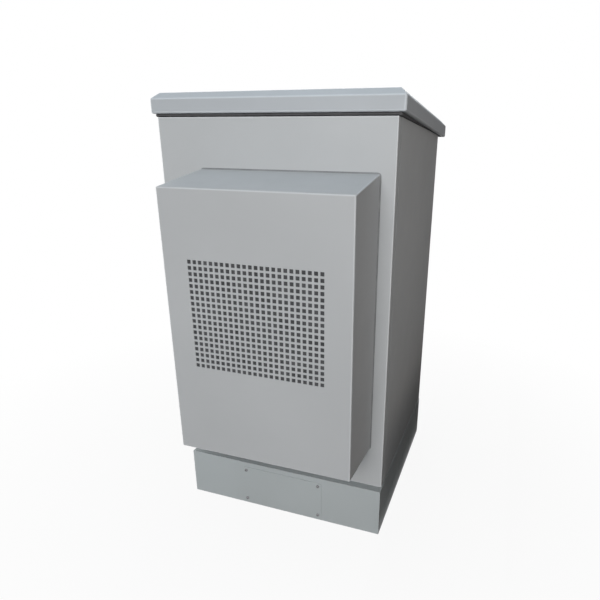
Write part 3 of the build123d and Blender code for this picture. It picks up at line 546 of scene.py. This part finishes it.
def sheet_piece(name, shape, slot, body, node, outward, sheet=SHEET):
    """Open skin as a sheet with its thickness inside; the largest face looks outward."""
    bmesh.ops.recalc_face_normals(shape, faces=shape.faces)
    shape.normal_update()
    largest = max(shape.faces, key=lambda face: face.calc_area())
    if largest.normal.dot(outward) < 0.0:
        bmesh.ops.reverse_faces(shape, faces=shape.faces)
    piece = new_piece(name, shape, slot, body, [node], closed=False)
    thick = piece.modifiers.new("sheet", "SOLIDIFY")
    thick.thickness = sheet
    thick.offset = -1.0
    thick.use_even_offset = True
    skin = piece.data
    piece.data = bpy.data.meshes.new_from_object(piece.evaluated_get(bpy.context.evaluated_depsgraph_get()))
    piece.modifiers.clear()
    bpy.data.meshes.remove(skin)
    smooth(piece)
    piece.modifiers.new("flat_faces", "WEIGHTED_NORMAL").keep_sharp = True


def square_hole(middle, half, place):
    """Corners of a rectangle about a middle, each given to a function that places it."""
    signs = ((-1, -1), (1, -1), (1, 1), (-1, 1))
    return [place(middle[0] + half[0] * across, middle[1] + half[1] * up) for across, up in signs]


def joint_place(name):
    """A point on a joint's axis."""
    return Vector(next(joint for joint in frame["joints"] if joint["name"] == name)["pos_m"])


PAN_CORNER = 0.002


def pan(name, slot, body, node, points, outward, holes=(), corner=PAN_CORNER):
    """Upright pan whose rim follows (inset, depth) points and whose face has holes."""
    low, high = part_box(node)
    shape = bmesh.new()
    rings = []
    for (inset, y), fold in folded_line(points):
        ring = rectangle_ring((low.x, low.z), (high.x, high.z), inset, corner)
        rings.append([((place.x, y, place.y), max(fold, turn)) for place, turn in ring])
    loops = skin_rings(shape, rings)
    fill_with_holes(shape, loops[-1], holes)
    sheet_piece(name, shape, slot, body, node, outward)


DUCT_CLEARANCE = 0.001
SPINDLE_HOLE = 0.015


def door_skin():
    """Door pan with its fan opening and the hole for the lock's spindle."""
    low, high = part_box("door_panel")
    fan_low, fan_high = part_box("fan_plate")
    axis = joint_place("handle_turn")
    middle = (fan_low + fan_high) / 2
    half = (fan_high - fan_low) / 2
    holes = [
        square_hole((middle.x, middle.z), (half.x + DUCT_CLEARANCE, half.z + DUCT_CLEARANCE),
                    lambda x, z: (x, low.y, z)),
        square_hole((axis.x, axis.z), (SPINDLE_HOLE / 2, SPINDLE_HOLE / 2), lambda x, z: (x, low.y, z)),
    ]
    points = [(0.0, high.y), (0.0, low.y), (FACE_INSET, low.y)]
    pan("door_pan", "cabinet_paint", "door", "door_panel", points, -BACK_WAY, holes)


COVER_LIP = 0.025


def rear_cover():
    """Deep rear pan with its fastening lip."""
    low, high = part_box("rear_panel")
    points = [(COVER_LIP, low.y), (0.0, low.y), (0.0, high.y), (FACE_INSET, high.y)]
    pan("rear_cover_pan", "cabinet_paint", "cabinet", "rear_panel", points, BACK_WAY)


def side_sheet(node, turn):
    """Side wall with its rounded rear fold, and a painted highlight along its lower edge."""
    low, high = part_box(node)
    outer, inner = (high.x, low.x) if turn > 0 else (low.x, high.x)
    line = folded_line([(outer, low.y), (outer, high.y), (inner, high.y)])
    shape = bmesh.new()
    layer = shape.verts.layers.float.new(FOLD_LAYER)
    # Painted highlight: the paint is lighter on a strip along the lower edge, which is marked like a fold up to
    # this height.
    painted_highlight = low.z + FOLD_RADIUS
    rows = []
    for z in (low.z, painted_highlight, painted_highlight + FOLD_FADE, high.z):
        rows.append([shape.verts.new((point.x, point.y, z)) for point, fold in line])
        for corner, (point, fold) in zip(rows[-1], line):
            corner[layer] = 1.0 if z <= painted_highlight else fold
    for lower, upper in zip(rows, rows[1:]):
        for index in range(len(line) - 1):
            shape.faces.new((lower[index], lower[index + 1], upper[index + 1], upper[index]))
    sheet_piece(node + "_sheet", shape, "cabinet_paint", "cabinet", node, RIGHT_WAY * turn)


LID_CORNER = 0.005
LID_FOLD = 0.0045
LID_RETURN = 0.012


def lid_tilt():
    """The turn that puts a flat lid in the CAD lid's place, from the lid's front and rear lower edges."""
    corners = [vertex.co for vertex in NODES["roof_cap"].data.vertices]
    front_y = min(corner.y for corner in corners)
    front_corners = [corner for corner in corners if corner.y < front_y + SAME_PLACE]
    front = min(front_corners, key=lambda corner: corner.z)
    rear = min(corners, key=lambda corner: corner.z)
    slope = math.atan2(front.z - rear.z, rear.y - front.y)
    return Matrix.Translation((0.0, front.y, front.z)) @ Matrix.Rotation(-slope, 4, "X")


def lid_skin():
    """Lid with a rounded rim, in the tilt that the CAD lid has."""
    tilt = lid_tilt()
    flat = [tilt.inverted() @ vertex.co for vertex in NODES["roof_cap"].data.vertices]
    wide = max(corner.x for corner in flat)
    deep = max(corner.y for corner in flat)
    top = max(corner.z for corner in flat)
    shoulder = max(corner.z for corner in flat if corner.x > wide - SAME_PLACE)
    bevel = wide - max(corner.x for corner in flat if corner.z > top - SAME_PLACE)
    points = [(LID_RETURN, 0.0), (0.0, 0.0), (0.0, shoulder), (bevel, top), (bevel + 2 * LID_FOLD, top)]
    shape = bmesh.new()
    rings = []
    for (inset, height), fold in folded_line(points, LID_FOLD):
        ring = rectangle_ring((-wide, 0.0), (wide, deep), inset, LID_CORNER)
        rings.append([(tilt @ Vector((place.x, place.y, height)), max(fold, turn)) for place, turn in ring])
    loops = skin_rings(shape, rings)
    fill_with_holes(shape, loops[-1])
    sheet_piece("lid_sheet", shape, "lid_paint", "cabinet", "roof_cap", UP_WAY)


HOOD_FLANGE = 0.022
HOOD_CORNER = 0.0025
PAN_RIM = 0.0036
SEAM_WIDTH = 0.0018
SEAM_DEPTH = 0.0022
OUTLET_SLOTS = 6
OUTLET_WIDTH = 0.010
OUTLET_PITCH = 0.022
OUTLET_MARGIN = 0.063
GRILLE_COLUMNS = 24
GRILLE_ROWS = 19
GRILLE_PITCH = 0.016
GRILLE_HOLE = 0.0104


def hood_heights(y):
    """Lowest and highest point of the hood's walls at a depth."""
    low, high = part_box("hood_shell")
    corners = [vertex.co for vertex in NODES["hood_shell"].data.vertices]
    mouth = [corner.z for corner in corners if corner.y < low.y + SAME_PLACE]
    share = (high.y - y) / (high.y - low.y)
    return low.z + (min(mouth) - low.z) * share, high.z + (max(mouth) - high.z) * share


def hood_ring(inset, y, fold=0.0, corner=HOOD_CORNER):
    """Ring round the hood's walls at a depth."""
    low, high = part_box("hood_shell")
    bottom, top = hood_heights(y)
    ring = rectangle_ring((low.x, bottom), (high.x, top), inset, corner)
    return [((place.x, y, place.y), max(fold, turn)) for place, turn in ring]


def hood_sleeve():
    """Hood with rounded long folds, a mounting flange, a joggled mouth and air slots underneath."""
    low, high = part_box("hood_shell")
    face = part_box("hood_front")[0].y
    mouth_y = face + PAN_RIM + SEAM_WIDTH
    line = folded_line([(HOOD_FLANGE, high.y), (0.0, high.y), (0.0, mouth_y)])
    rings = [hood_ring(inset, y, fold) for (inset, y), fold in line]
    rings += [hood_ring(SEAM_DEPTH, mouth_y), hood_ring(SEAM_DEPTH, face + SHEET)]
    long_walls = len(line) - 2
    shape = bmesh.new()
    loops = skin_rings(shape, rings, leave_out=(long_walls, PER_CORNER - 1))
    rear, mouth = loops[long_walls], loops[long_walls + 1]
    floor = [rear[PER_CORNER - 1], rear[PER_CORNER], mouth[PER_CORNER], mouth[PER_CORNER - 1]]
    first = (low.y + high.y - SHEET) / 2 - OUTLET_PITCH * (OUTLET_SLOTS - 1) / 2
    half = ((high.x - low.x) / 2 - OUTLET_MARGIN, OUTLET_WIDTH / 2)
    slots = [
        square_hole(((low.x + high.x) / 2, first + OUTLET_PITCH * index), half,
                    lambda x, y: (x, y, hood_heights(y)[0]))
        for index in range(OUTLET_SLOTS)
    ]
    fill_with_holes(shape, floor, slots)
    sheet_piece("hood_sleeve", shape, "hood_paint", "door", "hood_shell", RIGHT_WAY)


def hood_face():
    """Punched front of the hood, a shallow pan with rounded edges."""
    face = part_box("hood_front")[0].y
    middle = joint_place("fan_spin")
    half = (GRILLE_HOLE / 2, GRILLE_HOLE / 2)
    holes = []
    for column in range(GRILLE_COLUMNS):
        for row in range(GRILLE_ROWS):
            x = middle.x + (column - (GRILLE_COLUMNS - 1) / 2) * GRILLE_PITCH
            z = middle.z + (row - (GRILLE_ROWS - 1) / 2) * GRILLE_PITCH
            holes.append(square_hole((x, z), half, lambda across, up: (across, face, up)))
    points = [(0.0, face + PAN_RIM), (0.0, face), (FACE_INSET, face)]
    pan("hood_front_pan", "hood_paint", "door", "hood_front", points, -BACK_WAY, holes, HOOD_CORNER)


BEAD_OUT = 0.0035
BEAD_FORWARD = 0.0035
BEAD_ROOT = 0.001
BEAD_STEPS = 6
BEAD_CORNER = 0.006


def hood_bead():
    """Bead of sealant in the corner between the hood and the door."""
    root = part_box("hood_shell")[1].y
    line = [(FOLD_RADIUS, root)]
    for step in range(BEAD_STEPS + 1):
        angle = QUARTER_TURN * step / BEAD_STEPS
        line.append((-BEAD_OUT * math.cos(angle), root - BEAD_FORWARD * math.sin(angle)))
    line.append((BEAD_ROOT, root - BEAD_FORWARD))
    shape = bmesh.new()
    loops = skin_rings(shape, [hood_ring(inset, y, corner=BEAD_CORNER) for inset, y in line])
    walls(shape, [loops[-1], loops[0]])
    smooth(new_piece("hood_sealant", shape, "seal_rubber", "door", material=GREY_SEALANT))


SEAL_INSET = 0.011
SEAL_WIDTH = 0.008
SEAL_FRONT = 0.007
SEAL_CLEARANCE = 0.0006
SEAL_LEAST = 0.002
SEAL_DOOR_CLEARANCE = 0.0012
SEAL_STATIONS = 14
SEAL_STEPS = 8


def seal_section(bottom, top):
    """Section of a bulb seal as (offset, height) points, the offset inward from the bulb's outer line."""
    middle = (top + bottom) / 2
    bulge = (top - bottom) / 2
    points = [(SEAL_WIDTH, bottom), (SEAL_WIDTH, top)]
    for step in range(SEAL_STEPS + 1):
        angle = HALF_TURN * step / SEAL_STEPS
        points.append((bulge * (1.0 - math.sin(angle)), middle + bulge * math.cos(angle)))
    return points


def seal_run(name, loops):
    """Bulb seal through the given sections, each a list of corners."""
    shape = bmesh.new()
    closed_walls(shape, [[shape.verts.new(corner) for corner in loop] for loop in loops])
    smooth(new_piece(name, shape, "seal_rubber", "cabinet", material=GREY_RUBBER))


def lid_seals():
    """Bulb seals under the lid's front and side returns; the side ones run out to the back."""
    tilt = lid_tilt()
    lid_low, lid_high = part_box("roof_cap")
    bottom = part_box("top_plate")[1].z + SEAL_CLEARANCE
    outer = lid_high.x - SEAL_INSET
    start = lid_low.y + SEAL_FRONT
    fall = tilt.to_3x3() @ BACK_WAY
    slope = -fall.z / fall.y

    def underside(y):
        return tilt.translation.z - slope * (y - tilt.translation.y)

    length = (underside(start) - bottom - SEAL_LEAST) / slope
    for side, turn in (("left", -1), ("right", 1)):
        loops = []
        for station in range(SEAL_STATIONS + 1):
            y = start + length * station / SEAL_STATIONS
            section = seal_section(bottom, underside(y))
            loops.append([((outer - offset) * turn, y, z) for offset, z in section])
        seal_run("lid_seal_" + side, loops)
    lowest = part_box("door_panel")[1].z + SEAL_DOOR_CLEARANCE
    section = seal_section(lowest, underside(start + SEAL_WIDTH))
    reach = outer - SEAL_WIDTH
    loops = [[(x, start + offset, z) for offset, z in section] for x in (-reach, reach)]
    seal_run("lid_seal_front", loops)


# Screws and bolts: a button's size is its diameter and height, and a bolt's its head and its washer

PLATE_SCREW_EDGE = 0.0125
PLATE_SCREW_SIZE = (0.0110, 0.0034)


def plate_screws():
    """Button screws of the plinth's access plate."""
    low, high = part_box("plinth_access_plate")
    shape = bmesh.new()
    for x in (low.x + PLATE_SCREW_EDGE, high.x - PLATE_SCREW_EDGE):
        for z in (low.z + PLATE_SCREW_EDGE, high.z - PLATE_SCREW_EDGE):
            button_screw(shape, facing((x, low.y, z), -BACK_WAY), *PLATE_SCREW_SIZE)
    new_piece("access_plate_screws", shape, "screw_steel", "cabinet", ["plinth_plate_screws"])


RAILS = {
    "rack_rail_front_left": 1.0,
    "rack_rail_front_right": 1.0,
    "rack_rail_rear_left": -1.0,
    "rack_rail_rear_right": -1.0,
}
FOOT_EDGE = 0.003
FOOT_SHEET = 0.002
FOOT_ROUND = 0.0004
FOOT_BOLT = (0.013, 0.0055, 0.017, 0.0016)


def rail_feet():
    """Foot plates and bolts that hold the rails on the crossbars."""
    shape = bmesh.new()
    for rail in RAILS:
        low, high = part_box(rail)
        middle = (low + high) / 2
        for z, way in ((low.z, 1.0), (high.z, -1.0)):
            face = z + way * FOOT_SHEET
            ends = sorted((z, face))
            start = (low.x + FOOT_EDGE, low.y + FOOT_EDGE, ends[0])
            end = (high.x - FOOT_EDGE, high.y - FOOT_EDGE, ends[1])
            rounded_block(shape, start, end, FOOT_ROUND)
            hex_bolt(shape, facing((middle.x, middle.y, face), UP_WAY * way), *FOOT_BOLT)
    new_piece("rack_rail_feet", shape, "rail_steel", "cabinet")


EARTH_BOLT = (0.010, 0.0045, 0.013, 0.0012)
EARTH_BOLT_COUNT = 9
EARTH_BOLT_END = 0.015


def earth_bolts():
    """Terminal bolts along the earth bar."""
    low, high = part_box("earth_bar")
    shape = bmesh.new()
    for x in even_places(low.x + EARTH_BOLT_END, high.x - EARTH_BOLT_END, EARTH_BOLT_COUNT):
        hex_bolt(shape, facing((x, (low.y + high.y) / 2, high.z), UP_WAY), *EARTH_BOLT)
    new_piece("earth_bar_bolts", shape, "lock_steel", "cabinet")


ENTRY_SCREW = (0.0075, 0.0024)
ENTRY_SCREW_EDGE = 0.011
ENTRY_SCREW_COUNT = 5


def entry_screws():
    """Screws of the cable entry's frame."""
    low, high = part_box("cable_entry_frame")
    shape = bmesh.new()
    for y in (low.y + ENTRY_SCREW_EDGE, high.y - ENTRY_SCREW_EDGE):
        for x in even_places(low.x + ENTRY_SCREW_EDGE, high.x - ENTRY_SCREW_EDGE, ENTRY_SCREW_COUNT):
            button_screw(shape, facing((x, y, high.z), UP_WAY), *ENTRY_SCREW)
    new_piece("cable_entry_screws", shape, "screw_steel", "cabinet")


GUARD_SCREW = (0.0085, 0.0026)
GUARD_SCREW_EDGE = 0.011
FLANGE_RIVET = (0.0065, 0.0015)
FLANGE_RIVET_COUNT = 5
DUCT_FLANGE = 0.022
DUCT_SHEET = 0.0015


def fan_fixings():
    """Screws of the guard and rivets of the duct's flange, on the inside of the door."""
    shape = bmesh.new()
    low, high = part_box("fan_guard")
    for x in (low.x + GUARD_SCREW_EDGE, high.x - GUARD_SCREW_EDGE):
        for z in (low.z + GUARD_SCREW_EDGE, high.z - GUARD_SCREW_EDGE):
            button_screw(shape, facing((x, high.y, z), BACK_WAY), *GUARD_SCREW)
    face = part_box("door_gasket")[0].y + DUCT_SHEET
    out = DUCT_FLANGE / 2
    for share in even_places(0.0, 1.0, FLANGE_RIVET_COUNT):
        x = low.x - out + (high.x - low.x + DUCT_FLANGE) * share
        z = low.z - out + (high.z - low.z + DUCT_FLANGE) * share
        places = [(x, low.z - out), (x, high.z + out)]
        if 0.0 < share < 1.0:
            places += [(low.x - out, z), (high.x + out, z)]
        for place_x, place_z in places:
            button_screw(shape, facing((place_x, face, place_z), BACK_WAY), *FLANGE_RIVET)
    new_piece("fan_fixings", shape, "screw_steel", "door")


ESCUTCHEON_SCREW = (0.0085, 0.0022)
ESCUTCHEON_SCREW_ENDS = (0.011, 0.014)
HINGE_SCREW = (0.0085, 0.0025)
HINGE_SCREW_SHARE = 0.6
NECK_FOOT = 0.004
HINGE_HEIGHT = 0.024


def door_screws():
    """Screws of the handle's plate outside, and of the hinge arms inside."""
    shape = bmesh.new()
    low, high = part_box("handle_escutcheon")
    middle = (low.x + high.x) / 2
    for z in (low.z + ESCUTCHEON_SCREW_ENDS[0], high.z - ESCUTCHEON_SCREW_ENDS[1]):
        button_screw(shape, facing((middle, low.y, z), -BACK_WAY), *ESCUTCHEON_SCREW)
    low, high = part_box("hinge_goosenecks")
    x = low.x + (high.x - low.x) * HINGE_SCREW_SHARE
    for z in (low.z + HINGE_HEIGHT / 2, high.z - HINGE_HEIGHT / 2):
        button_screw(shape, facing((x, low.y + NECK_FOOT, z), BACK_WAY), *HINGE_SCREW)
    new_piece("door_screws", shape, "screw_steel", "door")


BARREL_RADIUS = 0.0095
BARREL_RISE = 0.0014
KEY_SLOT = (0.0082, 0.0018)
KEY_DEPTH = 0.006
BARREL_SHARES = ((1.0, 0.0), (1.0, 0.6), (0.93, 1.0))
BARREL_SIDES = 48


def key_barrel():
    """Lock barrel in the end of the handle's boss, with a key slot."""
    axis = joint_place("handle_turn")
    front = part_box("door_handle")[0].y
    rings = [(BARREL_RADIUS * out, BARREL_RISE * up) for out, up in BARREL_SHARES]
    slot = four_sided(*KEY_SLOT)
    rings += [(slot, BARREL_RISE), (slot, BARREL_RISE - KEY_DEPTH)]
    shape = bmesh.new()
    turned(shape, rings, facing((axis.x, front, axis.z), -BACK_WAY), BARREL_SIDES)
    new_piece("key_barrel", shape, "lock_steel", "handle")


WASHER_RADIUS = 0.017
WASHER_RINGS = ((1.0, 0.0), (0.98, 0.0010), (0.6, 0.0022), (0.22, 0.0022), (0.2, 0.0032))
WASHER_ACROSS_SHARES = (0.12, 0.5, 0.88)
WASHER_UP_SHARES = (0.1, 0.37, 0.63, 0.9)
BOARDS = {
    "insulation_left": RIGHT_WAY,
    "insulation_right": -RIGHT_WAY,
    "insulation_rear": -BACK_WAY,
}


def board_washers():
    """Spring washers that hold the insulation boards on their studs."""
    shape = bmesh.new()
    rings = [(WASHER_RADIUS * share, height) for share, height in WASHER_RINGS]
    for board, way in BOARDS.items():
        low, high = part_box(board)
        for across in WASHER_ACROSS_SHARES:
            for up in WASHER_UP_SHARES:
                point = Vector((
                    low.x + (high.x - low.x) * across,
                    low.y + (high.y - low.y) * across,
                    low.z + (high.z - low.z) * up,
                ))
                if way.x:
                    point.x = high.x if way.x > 0 else low.x
                else:
                    point.y = low.y
                turned(shape, rings, facing(point, way))
    new_piece("insulation_washers", shape, "rail_steel", "cabinet")


# Rack rails with square holes at the spacing of 19-inch equipment

RACK_UNIT = 0.04445
UNIT_HOLES = (0.00635, 0.022225, 0.0381)
RACK_UNITS = 22
SQUARE_HOLE = 0.0095
SQUARE_SET_IN = 0.0078
RAIL_SHEET = 0.002
HOLE_COLUMN = 1


def punched_rail(name, back):
    """Folded angle: the punched face first, then the plain side."""
    low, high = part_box(name)
    side = 1.0 if low.x > 0 else -1.0
    inner, outer = (low.x, high.x) if side > 0 else (high.x, low.x)
    face, far = (low.y, high.y) if back > 0 else (high.y, low.y)
    first = inner + side * SQUARE_SET_IN
    line = [(inner, face), (first, face), (first + side * SQUARE_HOLE, face), (outer, face), (outer, far)]
    start = (low.z + high.z - RACK_UNIT * RACK_UNITS) / 2
    heights = [low.z]
    for unit in range(RACK_UNITS):
        for hole in UNIT_HOLES:
            middle = start + RACK_UNIT * unit + hole
            heights += [middle - SQUARE_HOLE / 2, middle + SQUARE_HOLE / 2]
    heights.append(high.z)
    shape = bmesh.new()
    rows = [[shape.verts.new((x, y, z)) for x, y in line] for z in heights]
    for number, (lower, upper) in enumerate(zip(rows, rows[1:])):
        for column in range(len(line) - 1):
            if column == HOLE_COLUMN and number % 2 == 1:
                continue
            shape.faces.new((lower[column], lower[column + 1], upper[column + 1], upper[column]))
    sheet_piece(name + "_punched", shape, "rail_steel", "cabinet", name, RIGHT_WAY * side, RAIL_SHEET)


# Seals

BULB_STEPS = 10
BULB_SHARE = 0.5833


def bulb_gasket():
    """Door seal with a half-round bulb, mitred at the corners."""
    low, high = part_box("door_gasket")
    half = (high.y - low.y) * BULB_SHARE
    foot = high.y - low.y - half
    profile = [(-half, 0.0)]
    for step in range(BULB_STEPS + 1):
        angle = HALF_TURN * (1.0 - step / BULB_STEPS)
        profile.append((half * math.cos(angle), foot + half * math.sin(angle)))
    profile.append((half, 0.0))
    shape = bmesh.new()
    rings = []
    for out, depth in profile:
        left, right = low.x + half - out, high.x - half + out
        bottom, top = low.z + half - out, high.z - half + out
        y = low.y + depth
        corners = ((left, bottom), (right, bottom), (right, top), (left, top))
        rings.append([shape.verts.new((x, y, z)) for x, z in corners])
    walls(shape, rings + rings[:1])
    new_piece("door_seal_bulb", shape, "seal_rubber", "door", ["door_gasket"])


STRIP_COUNT = 5
STRIP_SLIT = 0.0012
STRIP_ROUND = 0.004


def split_seal():
    """Cable entry seal of foam-rubber strips pressed side by side."""
    low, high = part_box("cable_entry_seal")
    shape = bmesh.new()
    step = (high.y - low.y) / STRIP_COUNT
    for index in range(STRIP_COUNT):
        start = low.y + step * index + STRIP_SLIT / 2
        end = start + step - STRIP_SLIT
        rounded_block(shape, (low.x, start, low.z), (high.x, end, high.z), STRIP_ROUND)
    new_piece("cable_seal_strips", shape, "seal_rubber", "cabinet", ["cable_entry_seal"])


# Fan

BLADES = 5
HUB_RADIUS = 0.046
HUB_DEPTH = 0.024
HUB_ROUND = 0.006
HUB_ROUND_SHARE = 0.3
HUB_DISH = 0.001
HUB_DISH_SHARES = (0.55, 0.6)
HUB_SIDES = 64
BLADE_ROOT = 0.044
BLADE_TIP = 0.1355
BLADE_CHORDS = (0.060, 0.082)
BLADE_PITCHES = (math.radians(37.0), math.radians(23.0))
BLADE_CAMBER = 0.07
BLADE_THICK = 0.0028
BLADE_STEPS = 10
CHORD_STEPS = 12


def blade_section(share):
    """Closed outline of the blade at a share of its length: (along the turn, along the axis, radius)."""
    radius = BLADE_ROOT + (BLADE_TIP - BLADE_ROOT) * share
    chord = BLADE_CHORDS[0] + (BLADE_CHORDS[1] - BLADE_CHORDS[0]) * share
    pitch = BLADE_PITCHES[0] + (BLADE_PITCHES[1] - BLADE_PITCHES[0]) * share
    outline = []
    for turn in (1.0, -1.0):
        for step in range(CHORD_STEPS):
            along = step / CHORD_STEPS if turn > 0 else 1.0 - step / CHORD_STEPS
            bow = 4.0 * along * (1.0 - along)
            lift = BLADE_CAMBER * chord * (bow - 0.5) + turn * BLADE_THICK / 2 * math.sqrt(bow)
            forth = (along - 0.5) * chord
            across = forth * math.cos(pitch) - lift * math.sin(pitch)
            axial = forth * math.sin(pitch) + lift * math.cos(pitch)
            outline.append((across, axial, radius))
    return outline


def impeller():
    """External-rotor fan wheel with cambered, twisted blades."""
    low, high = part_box("fan_rotor")
    axis = joint_place("fan_spin")
    centre = Matrix.Translation((axis.x, (low.y + high.y) / 2, axis.z))
    end = HUB_DEPTH / 2
    dish = [HUB_RADIUS * share for share in HUB_DISH_SHARES]
    chamfer = HUB_ROUND * HUB_ROUND_SHARE
    shape = bmesh.new()
    turned(shape, [
        (dish[0], -end + HUB_DISH), (dish[1], -end), (HUB_RADIUS - HUB_ROUND, -end),
        (HUB_RADIUS - chamfer, -end + chamfer), (HUB_RADIUS, -end + HUB_ROUND), (HUB_RADIUS, end),
    ], centre @ Matrix.Rotation(-QUARTER_TURN, 4, "X"), HUB_SIDES)
    for blade in range(BLADES):
        turn = centre @ Matrix.Rotation(FULL_TURN * blade / BLADES, 4, "Y")
        loops = []
        for step in range(BLADE_STEPS + 1):
            loop = []
            for across, axial, radius in blade_section(step / BLADE_STEPS):
                swing = across / radius
                point = Vector((radius * math.sin(swing), axial, radius * math.cos(swing)))
                loop.append(shape.verts.new(turn @ point))
            loops.append(loop)
        closed_walls(shape, loops)
    smooth(new_piece("fan_impeller", shape, "fan_plastic", "fan", ["fan_rotor"]))


door_skin()
rear_cover()
side_sheet("left_side_panel", -1.0)
side_sheet("right_side_panel", 1.0)
lid_skin()
lid_seals()
hood_sleeve()
hood_face()
hood_bead()
plate_screws()
rail_feet()
earth_bolts()
entry_screws()
fan_fixings()
door_screws()
key_barrel()
board_washers()
for rail, direction in RAILS.items():
    punched_rail(rail, direction)
bulb_gasket()
split_seal()
impeller()


# Stage, light and camera

FLOOR_DROP = 0.001
FLOOR_REACH = 14.0
SHADOW_SPAN = (0.45, 1.9)
SHADOW_WHITE = 0.93
WHITE = (1.0, 1.0, 1.0)
FLOOR_COLOUR = (0.40, 0.40, 0.40)
WORLD_COLOUR = (0.90, 0.96, 1.0)
WORLD_LEVEL = 0.12
FLAG_COLOUR = (0.115, 0.100, 0.090)


def seen_ray(tree):
    """One where a ray comes straight from the camera, off metal or through glass, and nought elsewhere."""
    path = tree.nodes.new("ShaderNodeLightPath")
    total = None
    for ray in ("Is Camera Ray", "Is Glossy Ray", "Is Transmission Ray"):
        if total is None:
            total = path.outputs[ray]
            continue
        most = tree.nodes.new("ShaderNodeMath")
        most.operation = "MAXIMUM"
        tree.links.new(total, most.inputs[0])
        tree.links.new(path.outputs[ray], most.inputs[1])
        total = most.outputs["Value"]
    return total


def mix_shaders(tree, share, plain, seen, output):
    """Sends a mix of two shaders to an output, by the share of the second."""
    mix = tree.nodes.new("ShaderNodeMixShader")
    tree.links.new(share, mix.inputs["Fac"])
    for place, shader in enumerate((plain, seen), start=1):
        tree.links.new(shader, mix.inputs[place])
    tree.links.new(mix.outputs["Shader"], output.inputs["Surface"])


def make_world():
    """Soft light all round, and plain white where it is seen."""
    world = bpy.data.worlds.new("studio")
    bpy.context.scene.world = world
    world.use_nodes = True
    tree = world.node_tree
    tree.nodes.clear()
    soft = tree.nodes.new("ShaderNodeBackground")
    soft.inputs["Color"].default_value = (*WORLD_COLOUR, 1.0)
    soft.inputs["Strength"].default_value = WORLD_LEVEL
    white = tree.nodes.new("ShaderNodeBackground")
    white.inputs["Color"].default_value = (*WHITE, 1.0)
    output = tree.nodes.new("ShaderNodeOutputWorld")
    mix_shaders(tree, seen_ray(tree), soft.outputs["Background"], white.outputs["Background"], output)


def make_floor():
    """Pale floor that fades to white away from the cabinet and keeps a soft shadow close to it."""
    bpy.ops.mesh.primitive_plane_add(size=FLOOR_REACH * 2, location=(0.0, 0.0, -FLOOR_DROP))
    floor = bpy.context.object
    floor.name = "floor"
    material, tree, shader = start_material("floor", FLOOR_COLOUR, roughness=0.9, specular=0.1)
    white = tree.nodes.new("ShaderNodeEmission")
    white.inputs["Color"].default_value = (*WHITE, 1.0)
    white.inputs["Strength"].default_value = 1.0
    length = tree.nodes.new("ShaderNodeVectorMath")
    length.operation = "LENGTH"
    tree.links.new(tree.nodes.new("ShaderNodeTexCoord").outputs["Object"], length.inputs[0])
    fade = spread(tree, length.outputs["Value"], SHADOW_WHITE, 1.0, SHADOW_SPAN)
    share = tree.nodes.new("ShaderNodeMath")
    share.operation = "MULTIPLY"
    tree.links.new(seen_ray(tree), share.inputs[0])
    tree.links.new(fade, share.inputs[1])
    output = tree.nodes["Material Output"]
    mix_shaders(tree, share.outputs["Value"], shader.outputs["BSDF"], white.outputs["Emission"], output)
    floor.data.materials.append(material)


def aim(obj, target):
    """Turns an object's own -Z axis towards a point."""
    obj.rotation_euler = (Vector(target) - obj.location).to_track_quat("-Z", "Y").to_euler()


def area_light(name, place, target, size, power, colour):
    """Round soft lamp of a width in metres and a power in watts."""
    data = bpy.data.lights.new(name, "AREA")
    data.shape = "DISK"
    data.size = size
    data.energy = power
    data.color = colour
    lamp = bpy.data.objects.new(name, data)
    bpy.context.scene.collection.objects.link(lamp)
    lamp.location = place
    aim(lamp, target)


def make_flag(name, place, target, size, shadow=True):
    """Dark board that keeps light off the lower right side; the camera looks through it."""
    bpy.ops.mesh.primitive_plane_add(size=1.0, location=place)
    flag = bpy.context.object
    flag.name = name
    flag.scale = (*size, 1.0)
    aim(flag, target)
    flag.visible_camera = False
    flag.visible_shadow = shadow
    material = start_material(name, FLAG_COLOUR, roughness=1.0, specular=0.0)[0]
    flag.data.materials.append(material)


CAMERA_PLACE = (0.62798, -1.52726, 1.13650)
CAMERA_TURN = (1.24836, -0.02511, 0.30441)
CAMERA_LENS = 28.009
CAMERA_SHIFT = (-0.0977, 0.0412)
SENSOR_WIDTH = 36.0


def make_camera():
    """Camera at the photo's viewing angle."""
    data = bpy.data.cameras.new("camera")
    data.sensor_width = SENSOR_WIDTH
    data.lens = CAMERA_LENS
    data.shift_x, data.shift_y = CAMERA_SHIFT
    camera = bpy.data.objects.new("camera", data)
    bpy.context.scene.collection.objects.link(camera)
    camera.location = CAMERA_PLACE
    camera.rotation_euler = CAMERA_TURN
    bpy.context.scene.camera = camera


make_world()
make_floor()
make_flag("side_flag", (0.75, 0.38, 0.12), (0.3, 0.38, 0.12), (1.55, 0.7))
make_flag("back_flag", (1.2, 2.4, 0.9), (0.3, 0.0, 0.6), (2.4, 2.4))
make_flag("floor_flag", (1.46, 0.9, 0.002), (1.46, 0.9, 1.0), (2.2, 3.6), shadow=False)
area_light("key", (0.45, -4.1, 2.1), (0.0, -0.3, 0.7), 2.6, 119.0, (1.0, 0.985, 0.97))
area_light("sky", (-0.3, -0.6, 4.2), (0.0, -0.3, 0.9), 3.0, 36.0, (0.70, 0.87, 1.0))
area_light("right_fill", (3.6, -0.9, 1.4), (0.3, 0.0, 0.5), 1.6, 14.5, (1.0, 0.89, 0.80))
area_light("left_fill", (-4.0, 0.4, 2.0), (0.0, 0.0, 0.7), 2.4, 55.0, (1.0, 0.99, 0.97))
area_light("rear_fill", (-0.9, 4.2, 2.2), (0.0, 0.2, 0.7), 2.4, 75.0, (1.0, 0.99, 0.97))
make_camera()
bpy.context.scene.view_settings.view_transform = "Standard"
